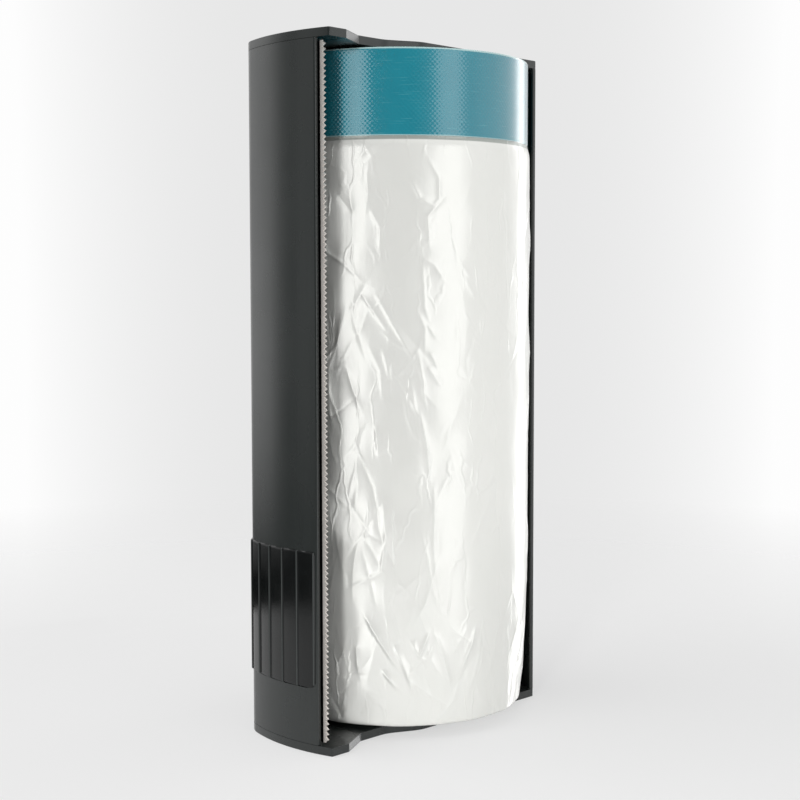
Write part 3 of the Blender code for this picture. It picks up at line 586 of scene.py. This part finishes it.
# Coated cloth: an even teal under a clear gloss, with a few paler threads and a pale cut edge
teal_tape, tree, shader = substance(
    "coated_cloth_tape",
    {"IOR": 1.5, "Roughness": 0.2, "Coat Weight": 0.9, "Coat Roughness": 0.13, "Coat IOR": 1.5},
)
chart = add(tree, "ShaderNodeUVMap", uv_map="lengths").outputs["UV"]
lattice = add(
    tree, "ShaderNodeMapping", {"Scale": (math.tau / DIAMOND, math.tau / DIAMOND, 1)}, {"Vector": chart}
)
diagonals = add(tree, "ShaderNodeSeparateXYZ", None, {"Vector": lattice.outputs["Vector"]})
one_way = add(tree, "ShaderNodeMath", None, {0: diagonals.outputs["X"]}, operation="SINE")
other_way = add(tree, "ShaderNodeMath", None, {0: diagonals.outputs["Y"]}, operation="SINE")
diamonds = add(
    tree, "ShaderNodeMath", None, {0: one_way.outputs["Value"], 1: other_way.outputs["Value"]},
    operation="MULTIPLY",
)
strands = add(tree, "ShaderNodeMapping", {"Scale": (THREAD_STRETCH, 1, 1)}, {"Vector": chart})
threads = add(
    tree, "ShaderNodeTexNoise", {"Scale": 1 / THREAD, "Detail": 2.0}, {"Vector": strands.outputs["Vector"]}
)
patches = add(tree, "ShaderNodeTexNoise", {"Scale": 1 / DYE_PATCH, "Detail": 3.0}, {"Vector": chart})
base = add(
    tree, "ShaderNodeMix", {"A": linear("#178092"), "B": linear("#1f8c9d")},
    {"Factor": patches.outputs["Fac"]}, data_type="RGBA",
)
pale_thread = add(
    tree, "ShaderNodeMapRange", {"From Min": 0.6, "From Max": 0.72, "To Max": 0.6},
    {"Value": threads.outputs["Fac"]},
)
tone = add(
    tree, "ShaderNodeMix", {"B": linear("#4fa0ac")},
    {"Factor": pale_thread.outputs["Result"], "A": base.outputs["Result"]}, data_type="RGBA",
)
thread_relief = add(
    tree, "ShaderNodeBump", {"Strength": 0.3, "Distance": THREAD_DEPTH}, {"Height": threads.outputs["Fac"]}
)
relief = add(
    tree, "ShaderNodeBump", {"Strength": 0.45, "Distance": DIAMOND_DEPTH},
    {"Height": diamonds.outputs["Value"], "Normal": thread_relief.outputs["Normal"]},
)
height = add(tree, "ShaderNodeSeparateXYZ", None, {"Vector": chart})
off_middle = add(
    tree, "ShaderNodeMath", {1: tape_base + tape_width / 2}, {0: height.outputs["Y"]}, operation="SUBTRACT"
)
from_middle = add(tree, "ShaderNodeMath", None, {0: off_middle.outputs["Value"]}, operation="ABSOLUTE")
rim = add(
    tree, "ShaderNodeMapRange",
    {"From Min": tape_width / 2 - TAPE_RIM, "From Max": tape_width / 2 - 0.6 * TAPE_RIM},
    {"Value": from_middle.outputs["Value"]},
)
dyed = add(
    tree, "ShaderNodeMix", {"B": linear("#b4d6d6")},
    {"Factor": rim.outputs["Result"], "A": tone.outputs["Result"]}, data_type="RGBA",
)
tree.links.new(dyed.outputs["Result"], shader.inputs["Base Color"])
tree.links.new(relief.outputs["Normal"], shader.inputs["Normal"])
tree.links.new(relief.outputs["Normal"], shader.inputs["Coat Normal"])

tape = skin(
    "tape_roll", grid, teal_tape, closed_up=True, body="roll",
    around=turns * math.tau * ROLL_RADIUS + 0 * radius, up=level + ROLL_RADIUS - radius,
)
tape.data.set_sharp_from_angle(angle=TAPE_FOLD_ANGLE)
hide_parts("tape_winding")

# Film
# White polyethylene film, 8 or 9 micrometres thick, folded many times to the roll's width and
# wound with the tape. The folds give long soft creases, and the lower end is pulled in by pleats.
FILM_STEP = 0.4 * MM
FILM_PROUD = 0.7 * MM         # how far the film bulges past the tape
BULGE_EASE = 2 * MM
FILM_INSET = 0.08 * MM        # keeps the creases within the film's real radius
FILM_EDGE = 1.2 * MM
TAPER_DROP = 2.6 * MM
TAPER_LENGTH = 20 * MM
PLEAT_DEPTH = 0.35 * MM
PLEAT_LENGTH = 34 * MM
SHADED_BAND = 1.1 * MM         # height of the grey band of painted shade right under the tape; the creases start below it
SHADED_BAND_BLUR = 0.15 * MM
TO_THE_TAPE = 0.25 * MM       # closes most of the solids' gap under the tape
FILM_COLUMNS = 760
FILM_ROWS = 520
FILM_RINGS = 14
CREASE_REACH = 7 * MM
CREASE_EASE = 14 * MM         # how far below the tape the creases reach their full height
LONG_HEIGHTS = (0.34, 0.46)   # least and most, in millimetres, as the next three are
LONG_WIDTHS = (0.35, 0.55)
SMALL_HEIGHTS = (0.08, 0.3)
SMALL_WIDTHS = (0.25, 0.6)
SMALL_BEND = math.radians(12)
VALLEY_DEPTH = 0.3 * MM
VALLEY_WIDTH = 0.6 * MM
FAN_TOP = 34                  # millimetres above the table, below which the creases fan out
FAN_SHARE = 1.8
TAUT_TURN = math.radians(272)  # the side where the sheet was wound taut
TAUT_REACH = 18               # degrees to both sides
TAUT_EASE = 20                # degrees more, over which the creases grow to their full height
TAUT_SHARE = 0.4              # of their height is left on the taut side
SLACK_TOP = 36 * MM           # below it the taut side has full creases too
SLACK_EASE = 12 * MM
WAVES = 16
WAVE_HEIGHT = 0.05 * MM
WRINKLE = 3 * MM
WRINKLE_STRETCH = 0.2
WRINKLE_DEPTH = 0.12 * MM
CRUMPLE = 6 * MM
CRUMPLE_BEND = 4 * MM
CRUMPLE_BEND_SIZE = 8 * MM
CRUMPLE_DEPTH = 0.07 * MM
FILM_PATCH = 14 * MM
FILM_FOLD_ANGLE = math.radians(60)
film_low, film_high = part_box("film_winding")
film_height = film_high.z - film_low.z
turns = np.linspace(0, 1, FILM_COLUMNS, endpoint=False)[None, :]
share = np.linspace(0, 1, FILM_ROWS)[:, None]
up = share * film_height
girth = math.tau * ROLL_RADIUS
run = turns * girth
folds = np.zeros((FILM_ROWS, FILM_COLUMNS))

# The longest creases, as bent lines of degrees round the roll and millimetres above the table
LONG_CREASES = (
    ((214, 131), (222, 121), (231, 110)),
    ((208, 131), (214, 125), (219, 120)),
    ((201, 110), (204, 104), (208, 97)),
    ((233, 140), (234, 127), (236, 123)),
    ((231, 126), (234, 121), (234, 114)),
    ((235, 122), (239, 118)),
    ((231, 115), (233, 106), (234, 99)),
    ((236, 114), (240, 109)),
    ((235, 110), (241, 104)),
    ((228, 107), (230, 97)),
    ((211, 116), (216, 109), (217, 100)),
    ((217, 115), (220, 106)),
    ((232, 97), (235, 86), (236, 77)),
    ((214, 93), (215, 84)),
    ((233, 141), (238, 139), (242, 135)),
    ((251, 136), (257, 129)),
    ((249, 140), (255, 135)),
    ((207, 170), (211, 172), (215, 174)),
    ((222, 175), (214, 171), (208, 167)),
    ((235, 170), (240, 164), (240, 158), (236, 155)),
    ((228, 164), (232, 158), (238, 156)),
    ((243, 159), (235, 153), (236, 144)),
    ((212, 155), (216, 150), (216, 143)),
    ((217, 71), (218, 61), (216, 50), (202, 45)),
    ((238, 75), (238, 53)),
    ((209, 37), (215, 30), (224, 20)),
    ((221, 29), (226, 21), (230, 13)),
    ((228, 30), (232, 25), (236, 32)),
    ((238, 32), (242, 25), (246, 16)),
    ((258, 33), (255, 27), (251, 20)),
    ((274, 32), (282, 41), (288, 34)),
    ((205, 28), (206, 19)),
    ((216, 21), (223, 15)),
)
LONG_VALLEYS = (
    ((210, 134), (207, 130), (203, 126)),
    ((198, 159), (204, 154)),
    ((201, 50), (202, 45)),
    ((224, 176), (216, 169)),
    ((340, 150), (352, 120)),
)


def crease(points, height, width):
    """Raise the folds along a bent line of (run, level) points, steeper on one side."""
    points = np.array(points)
    lowest, highest = points[:, 1].min(), points[:, 1].max()
    rows = np.flatnonzero(abs(up[:, 0] - np.clip(up[:, 0], lowest, highest)) < CREASE_REACH)
    aside = (run[0] - points[0, 0] + girth / 2) % girth - girth / 2
    bends = points[:, 0] - points[0, 0]
    columns = np.flatnonzero(abs(aside - np.clip(aside, bends.min(), bends.max())) < CREASE_REACH)
    if len(rows) == 0 or len(columns) == 0:
        return
    x, y = np.meshgrid(aside[columns], up[rows, 0] - points[0, 1])
    steps = np.diff(points, axis=0)
    lengths = np.hypot(steps[:, 0], steps[:, 1])
    best = np.full(x.shape, np.inf)
    across, place = np.zeros(x.shape), np.zeros(x.shape)
    for (x0, y0), (dx, dy), size, before in zip(
        points - points[0], steps, lengths, np.cumsum(lengths) - lengths
    ):
        part = np.clip(((x - x0) * dx + (y - y0) * dy) / size ** 2, 0, 1)
        far = np.hypot(x - x0 - part * dx, y - y0 - part * dy)
        nearer = far < best
        best = np.where(nearer, far, best)
        across = np.where(nearer, np.sign((x - x0) * dy - (y - y0) * dx), across)
        place = np.where(nearer, (before + part * size) / lengths.sum(), place)
    # A narrow crest with a low, wide foot, which fades towards both ends of the line
    fade = np.sin(np.clip(place, 0.02, 0.98) * math.pi) ** 0.6
    soft = np.hypot(best, 0.3 * width) - 0.3 * width
    flank = np.where(across > 0, width, 2 * width)
    crest = 0.75 * np.exp(-soft / flank) + 0.25 * np.exp(-soft / (3.5 * flank))
    folds[np.ix_(rows, columns)] += height * fade * crest


def round_the_roll(line):
    """Turn degrees and millimetres into runs from the sheet's end and levels on the film."""
    return [
        (math.radians(degrees) % math.tau * ROLL_RADIUS - SHEET_END * ROLL_RADIUS, z * MM - film_low.z)
        for degrees, z in line
    ]


draw = np.random.default_rng(23)
for line in LONG_CREASES:
    height = draw.uniform(*LONG_HEIGHTS) * MM
    if line[-1][1] < FAN_TOP:
        height *= FAN_SHARE
    crease(round_the_roll(line), height, draw.uniform(*LONG_WIDTHS) * MM)
for line in LONG_VALLEYS:
    crease(round_the_roll(line), -VALLEY_DEPTH, VALLEY_WIDTH)

# Small creases at random, over the whole film and once more where it fans out
for low, high, count, lean, longest in (
    (10 * MM, film_height - 4 * MM, 420, math.radians(20), 24 * MM),
    (1 * MM, 32 * MM, 210, math.radians(28), 18 * MM),
):
    for _ in range(count):
        size = draw.uniform(0.3, 1)
        place = np.array([draw.uniform(0, girth), draw.uniform(low, high)])
        line = [place]
        tilt = draw.normal(0, lean)
        for _ in range(3):
            tilt += draw.normal(0, SMALL_BEND)
            line.append(line[-1] + np.array([math.sin(tilt), -math.cos(tilt)]) * longest * size / 3)
        height = draw.choice([1, 1, -1]) * draw.uniform(*SMALL_HEIGHTS) * MM * size
        crease(line, height, draw.uniform(*SMALL_WIDTHS) * MM)

# Slow waves, then the creases' share of their height: little by the tape and on the taut side
for _ in range(WAVES):
    count, lift = draw.integers(5, 19), draw.uniform(1, 5)
    phase = draw.uniform(0, 1, 2)
    wave = np.sin((count * turns + phase[0] + 0.3 * np.sin((lift * share + phase[1]) * math.tau)) * math.tau)
    folds += WAVE_HEIGHT * wave * (0.6 + 0.4 * np.sin((lift * share + phase[0]) * math.tau))
folds *= np.clip((film_height - up - SHADED_BAND) / CREASE_EASE, 0.03, 1)
off_taut = abs((SHEET_END + turns * math.tau - TAUT_TURN) % math.tau)
off_taut = np.degrees(np.minimum(off_taut, math.tau - off_taut))
loose_share = TAUT_SHARE + (1 - TAUT_SHARE) * np.clip((off_taut - TAUT_REACH) / TAUT_EASE, 0, 1)
folds *= np.maximum(loose_share, np.clip((SLACK_TOP - up) / SLACK_EASE, 0, 1))

# The tapered and pleated lower end, its rolled edge, and the bulge below the tape
pleats = sum(
    part * np.sin(count * turns * math.tau + count)
    for part, count in ((0.45, 11), (0.33, 19), (0.22, 29))
)
drop = TAPER_DROP * np.exp(-up / TAPER_LENGTH)
drop = drop + PLEAT_DEPTH * np.exp(-up / PLEAT_LENGTH) * (1 + pleats) / 2
past = np.maximum(FILM_EDGE - up, 0) / FILM_EDGE
drop = drop + 0.5 * FILM_EDGE * (1 - np.sqrt(1 - past ** 2))
drop = drop + FILM_PROUD * np.exp(-((film_height - up) / BULGE_EASE) ** 2)
radius = ROLL_RADIUS + FILM_PROUD - FILM_STEP * turns - drop + folds - FILM_INSET
stretch = 1 + (TO_THE_TAPE + WOUND_HIGH) / film_height
grid, radius, level = wound_section(radius, film_low.z + up[:, 0] * stretch, turns, FILM_RINGS)

# Thin white sheets, many deep: warm white with a soft shine that breaks up on fine wrinkles, and a grey band
# of painted shade right under the tape
white_film, tree, shader = substance(
    "folded_polyethylene_film", {"IOR": 1.5, "Roughness": 0.27, "Metallic": 0.17}
)
chart = add(tree, "ShaderNodeUVMap", uv_map="lengths").outputs["UV"]
height = add(tree, "ShaderNodeSeparateXYZ", None, {"Vector": chart})
wrinkles = add(tree, "ShaderNodeMapping", {"Scale": (1, WRINKLE_STRETCH, 1)}, {"Vector": chart})
fine = add(
    tree, "ShaderNodeTexNoise", {"Scale": 1 / WRINKLE, "Detail": 4.0, "Roughness": 0.55},
    {"Vector": wrinkles.outputs["Vector"]},
)
# Painted shade: a grey band on the film right under the tape
shade_low = tape_base - SHADED_BAND
painted_band_shade = add(
    tree, "ShaderNodeMapRange", {"From Min": shade_low - SHADED_BAND_BLUR, "From Max": shade_low + SHADED_BAND_BLUR},
    {"Value": height.outputs["Y"]},
)
bends = add(tree, "ShaderNodeTexNoise", {"Scale": 1 / CRUMPLE_BEND_SIZE, "Detail": 2.0}, {"Vector": chart})
bent = add(
    tree, "ShaderNodeVectorMath", {1: (CRUMPLE_BEND, CRUMPLE_BEND, 0)},
    {0: bends.outputs["Color"], 2: wrinkles.outputs["Vector"]}, operation="MULTIPLY_ADD",
)
cells = add(
    tree, "ShaderNodeTexVoronoi", {"Scale": 1 / CRUMPLE}, {"Vector": bent.outputs["Vector"]},
    voronoi_dimensions="2D", feature="DISTANCE_TO_EDGE",
)
ridges = add(
    tree, "ShaderNodeMapRange", {"From Max": 0.09, "To Min": 1.0, "To Max": 0.0},
    {"Value": cells.outputs["Distance"]}, interpolation_type="SMOOTHSTEP",
)
cloud = add(tree, "ShaderNodeTexNoise", {"Scale": 1 / FILM_PATCH, "Detail": 3.0}, {"Vector": chart})
here = add(
    tree, "ShaderNodeMapRange", {"From Min": 0.45, "From Max": 0.62}, {"Value": cloud.outputs["Fac"]}
)
creases = add(
    tree, "ShaderNodeMath", None, {0: ridges.outputs["Result"], 1: here.outputs["Result"]},
    operation="MULTIPLY",
)
layers = add(
    tree, "ShaderNodeMix", {"A": linear("#eeefea"), "B": linear("#f3f3ef")},
    {"Factor": cloud.outputs["Fac"]}, data_type="RGBA",
)
tone = add(
    tree, "ShaderNodeMix", {"B": linear("#a9aea9")},
    {"Factor": painted_band_shade.outputs["Result"], "A": layers.outputs["Result"]}, data_type="RGBA",
)
crumple = add(
    tree, "ShaderNodeBump", {"Strength": 1.0, "Distance": CRUMPLE_DEPTH},
    {"Height": creases.outputs["Value"]},
)
relief = add(
    tree, "ShaderNodeBump", {"Strength": 0.35, "Distance": WRINKLE_DEPTH},
    {"Height": fine.outputs["Fac"], "Normal": crumple.outputs["Normal"]},
)
tree.links.new(tone.outputs["Result"], shader.inputs["Base Color"])
tree.links.new(relief.outputs["Normal"], shader.inputs["Normal"])

film = skin(
    "film_roll", grid, white_film, closed_up=True, body="roll",
    around=turns * girth + 0 * radius, up=level + ROLL_RADIUS - np.minimum(radius, ROLL_RADIUS),
)
film.data.set_sharp_from_angle(angle=FILM_FOLD_ANGLE)
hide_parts("film_winding")

# Floor
# A matt white studio table, which fades out before its rim so that no edge shows. Most of its
# white comes from its own colour, as the camera and glossy surfaces see it, and from below it
# is clear, so that the case's foot shows.
FLOOR_REACH = 0.52
FLOOR_FADE_FROM = 0.15
FLOOR_OWN_SHARE = 0.55
matt_white, tree, shader = substance("matt_white_table", {"Base Color": linear("#ededed"), "Roughness": 0.9})
place = add(tree, "ShaderNodeTexCoord").outputs["Object"]
far = add(tree, "ShaderNodeVectorMath", None, {0: place}, operation="LENGTH")
fade = add(
    tree, "ShaderNodeMapRange", {"From Min": FLOOR_FADE_FROM, "From Max": FLOOR_REACH * 0.98},
    {"Value": far.outputs["Value"]},
)
paper_white = add(tree, "ShaderNodeEmission", {"Color": linear("#f9f9f9"), "Strength": 1.0})
path = add(tree, "ShaderNodeLightPath")
seen = add(
    tree, "ShaderNodeMath", None, {0: path.outputs["Is Camera Ray"], 1: path.outputs["Is Glossy Ray"]},
    operation="ADD",
)
own = add(tree, "ShaderNodeMath", {1: FLOOR_OWN_SHARE}, {0: seen.outputs["Value"]}, operation="MULTIPLY")
surface = add(
    tree, "ShaderNodeMixShader", None,
    {0: own.outputs["Value"], 1: shader.outputs["BSDF"], 2: paper_white.outputs["Emission"]},
)
clear = add(tree, "ShaderNodeBsdfTransparent")
faces = add(tree, "ShaderNodeNewGeometry")
gone = add(
    tree, "ShaderNodeMath", None, {0: fade.outputs["Result"], 1: faces.outputs["Backfacing"]},
    operation="MAXIMUM",
)
blend = add(
    tree, "ShaderNodeMixShader", None,
    {0: gone.outputs["Value"], 1: surface.outputs["Shader"], 2: clear.outputs["BSDF"]},
)
tree.links.new(blend.outputs["Shader"], tree.nodes["Material Output"].inputs["Surface"])
disc = bmesh.new()
bmesh.ops.create_circle(disc, cap_ends=True, segments=96, radius=FLOOR_REACH)
floor_mesh = bpy.data.meshes.new("floor")
disc.to_mesh(floor_mesh)
disc.free()
floor_mesh.materials.append(matt_white)
floor = bpy.data.objects.new("floor", floor_mesh)
bpy.context.scene.collection.objects.link(floor)

# Camera
# It stands at the photograph's place: a little above the middle of the case, with the grip wall
# on its left and the open side on its right.
CAMERA_PLACE = Vector((-0.34763, -0.3377, 0.13254))
CAMERA_HEADING = math.radians(46.487)
CAMERA_DIP = math.radians(4.07)
CAMERA_ROLL = math.radians(-0.095)
CAMERA_LENS = 69.62
eye = bpy.data.cameras.new("camera")
eye.lens = CAMERA_LENS
eye.sensor_width = 36
camera = bpy.data.objects.new("camera", eye)
aim = Matrix.Rotation(-CAMERA_HEADING, 4, "Z") @ Matrix.Rotation(math.pi / 2 - CAMERA_DIP, 4, "X")
camera.matrix_world = Matrix.Translation(CAMERA_PLACE) @ aim @ Matrix.Rotation(CAMERA_ROLL, 4, "Z")
bpy.context.scene.collection.objects.link(camera)
bpy.context.scene.camera = camera
sideways = (aim @ Vector((1, 0, 0, 0))).to_3d()

# Studio light
# A small lamp on the left throws the wall's crisp shadow on the roll. Soft boxes on both sides give
# the roll its upright bright bands, and the rest is a pale room that gloss sees unevenly.
middle = (cad_box[0] + cad_box[1]) / 2


def lamp(name, azimuth, elevation, distance, width, height, level):
    """Area lamp that faces the case's middle from a direction in degrees, at a share of white's level."""
    made = bpy.data.lights.new(name, "AREA")
    made.shape = "RECTANGLE"
    made.size = width
    made.size_y = height
    made.energy = level * math.pi ** 2 * distance ** 2
    obj = bpy.data.objects.new(name, made)
    turn, lift = math.radians(azimuth), math.radians(elevation)
    way = Vector((math.cos(turn) * math.cos(lift), math.sin(turn) * math.cos(lift), math.sin(lift)))
    obj.location = middle + way * distance
    obj.rotation_euler = way.to_track_quat("Z", "Y").to_euler()
    bpy.context.scene.collection.objects.link(obj)
    return obj


key_lamp = lamp("key_lamp", 209, 8, 1.5, 0.16, 0.3, 0.42)
key_lamp.visible_glossy = False
front_box = lamp("front_soft_box", 268, 4, 1.2, 0.55, 0.9, 0.15)
side_box = lamp("side_soft_box", 360, -4, 1.2, 0.38, 1.2, 0.22)
sheen_box = lamp("sheen_soft_box", 187, -3, 1.2, 0.43, 1.15, 0.24)
sheen_box.visible_diffuse = False
table_lamp = lamp("table_lamp", 145, 62, 1.2, 1.0, 1.0, 0.42)
table_lamp.visible_glossy = False
table_only = bpy.data.collections.new("table_only")
table_only.objects.link(floor)
table_lamp.light_linking.receiver_collection = table_only
past_the_table = bpy.data.collections.new("past_the_table")
past_the_table.objects.link(floor)
past_the_wall = bpy.data.collections.new("past_the_wall")
past_the_wall.objects.link(floor)
for piece in ("case_shell", "top_end_cap", "bottom_end_cap", "serrated_blade"):
    past_the_wall.objects.link(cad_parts[piece])
for piece in (*past_the_wall.collection_objects, *past_the_table.collection_objects):
    piece.light_linking.link_state = "EXCLUDE"
front_box.light_linking.blocker_collection = past_the_table
side_box.light_linking.blocker_collection = past_the_table
sheen_box.light_linking.blocker_collection = past_the_wall
roll_only = bpy.data.collections.new("roll_only")
roll_only.objects.link(tape)
roll_only.objects.link(film)
sheen_box.light_linking.receiver_collection = roll_only

# A low black card on the left of the table, which only gloss sees: it makes the grip pad dark,
# and its feathered top fades the lower wall
CARD_DISTANCE = 0.2
CARD_HEIGHT = 0.125
CARD_FROM, CARD_TO = 70, 168  # degrees round the grip wall's outermost line
CARD_COLUMNS = 32
CARD_FEATHER = 2.0            # how fast its top thins out
CARD_DENSITY = 1.25
card_mesh = bpy.data.meshes.new("black_card")
card_turn = np.radians(np.linspace(CARD_FROM, CARD_TO, CARD_COLUMNS))
card_x = case_low.x + CARD_DISTANCE * np.cos(card_turn)
card_y = grip_y + CARD_DISTANCE * np.sin(card_turn)
low_edge = np.stack([card_x, card_y, 0 * card_x], axis=-1)
high_edge = low_edge + np.array([0, 0, CARD_HEIGHT])
card_faces = [(i, i + 1, CARD_COLUMNS + i + 1, CARD_COLUMNS + i) for i in range(CARD_COLUMNS - 1)]
card_mesh.from_pydata(np.concatenate([low_edge, high_edge]), [], card_faces)
black_felt, tree, shader = substance("black_felt", {"Base Color": linear("#060606"), "Roughness": 1.0})
shader.inputs["Specular IOR Level"].default_value = 0.0
place = add(tree, "ShaderNodeTexCoord").outputs["Object"]
level = add(tree, "ShaderNodeSeparateXYZ", None, {"Vector": place})
thin = add(
    tree, "ShaderNodeMapRange", {"From Max": CARD_HEIGHT, "To Min": 1.0, "To Max": 0.0},
    {"Value": level.outputs["Z"]},
)
feather = add(tree, "ShaderNodeMath", {1: CARD_FEATHER}, {0: thin.outputs["Result"]}, operation="POWER")
dense = add(tree, "ShaderNodeMath", {1: CARD_DENSITY}, {0: feather.outputs["Value"]}, operation="MULTIPLY")
dense.use_clamp = True
tree.links.new(dense.outputs["Value"], shader.inputs["Alpha"])
card_mesh.materials.append(black_felt)
card = bpy.data.objects.new("black_card", card_mesh)
bpy.context.scene.collection.objects.link(card)
card.visible_camera = False
card.visible_diffuse = False
card.visible_shadow = False
card.visible_transmission = False

# The pale room: gloss sees it by degrees round the case as pairs of a turn and a level, matt
# surfaces see one level, and the camera sees a backdrop that brightens towards both sides
ROOM_LEVEL = 0.4
ROOM_SEEN_BY_GLOSS = (
    (0, 0.8), (57, 0.9), (90, 0.95), (104, 1.2), (114, 1.4), (120, 0.95), (126, 0.4), (134, 0.28),
    (142, 0.6), (154, 0.66), (164, 0.3), (175, 0.12), (195, 0.1), (236, 0.1), (250, 0.4), (285, 0.8),
    (300, 1.15), (335, 1.3), (360, 0.8),
)
BRIGHTEST = 2.0
CEILING_LEVEL = 1.2
CEILING_FROM, CEILING_TO = 0.5, 0.85          # rise of the direction in which gloss sees it
BACKDROP_MIDDLE, BACKDROP_SIDES = 0.8, 0.985
BACKDROP_FROM, BACKDROP_TO = 0.08, 0.235      # sideways part of the camera's direction
world = bpy.data.worlds.new("pale_room")
world.use_nodes = True
bpy.context.scene.world = world
tree = world.node_tree
room = tree.nodes["Background"]
room.inputs["Color"].default_value = linear("#ffffff")
path = add(tree, "ShaderNodeLightPath")
way = add(tree, "ShaderNodeTexCoord").outputs["Generated"]
aside = add(tree, "ShaderNodeVectorMath", {1: tuple(sideways)}, {0: way}, operation="DOT_PRODUCT")
far = add(tree, "ShaderNodeMath", None, {0: aside.outputs["Value"]}, operation="ABSOLUTE")
outer = add(
    tree, "ShaderNodeMapRange", {"From Min": BACKDROP_FROM, "From Max": BACKDROP_TO},
    {"Value": far.outputs["Value"]},
)
rising = add(tree, "ShaderNodeMath", {1: 2.0}, {0: outer.outputs["Result"]}, operation="POWER")
backdrop = add(
    tree, "ShaderNodeMapRange", {"To Min": BACKDROP_MIDDLE, "To Max": BACKDROP_SIDES},
    {"Value": rising.outputs["Value"]},
)
compass = add(tree, "ShaderNodeSeparateXYZ", None, {"Vector": way})
turn = add(
    tree, "ShaderNodeMath", None, {0: compass.outputs["Y"], 1: compass.outputs["X"]}, operation="ARCTAN2"
)
turns = add(tree, "ShaderNodeMath", {1: math.tau}, {0: turn.outputs["Value"]}, operation="DIVIDE")
share = add(tree, "ShaderNodeMath", None, {0: turns.outputs["Value"]}, operation="FRACT")
walls = add(tree, "ShaderNodeValToRGB", None, {"Fac": share.outputs["Value"]})
stops = walls.color_ramp.elements
for place, (degrees, level) in enumerate(ROOM_SEEN_BY_GLOSS):
    grey = level / BRIGHTEST
    stop = stops[0] if place == 0 else stops.new(degrees / 360)
    stop.color = (grey, grey, grey, 1)
stops.remove(stops[-1])
ceiling = add(
    tree, "ShaderNodeMapRange", {"From Min": CEILING_FROM, "From Max": CEILING_TO, "To Max": CEILING_LEVEL},
    {"Value": compass.outputs["Z"]},
)
mirrored = add(
    tree, "ShaderNodeMath", {1: BRIGHTEST},
    {0: walls.outputs["Color"], 2: ceiling.outputs["Result"]}, operation="MULTIPLY_ADD",
)
glossy = add(
    tree, "ShaderNodeMix", {"A": ROOM_LEVEL},
    {"Factor": path.outputs["Is Glossy Ray"], "B": mirrored.outputs["Value"]}, data_type="FLOAT",
)
seen = add(
    tree, "ShaderNodeMix", None,
    {"Factor": path.outputs["Is Camera Ray"], "A": glossy.outputs["Result"], "B": backdrop.outputs["Result"]},
    data_type="FLOAT",
)
tree.links.new(seen.outputs["Result"], room.inputs["Strength"])

bpy.context.scene.view_settings.view_transform = "Standard"
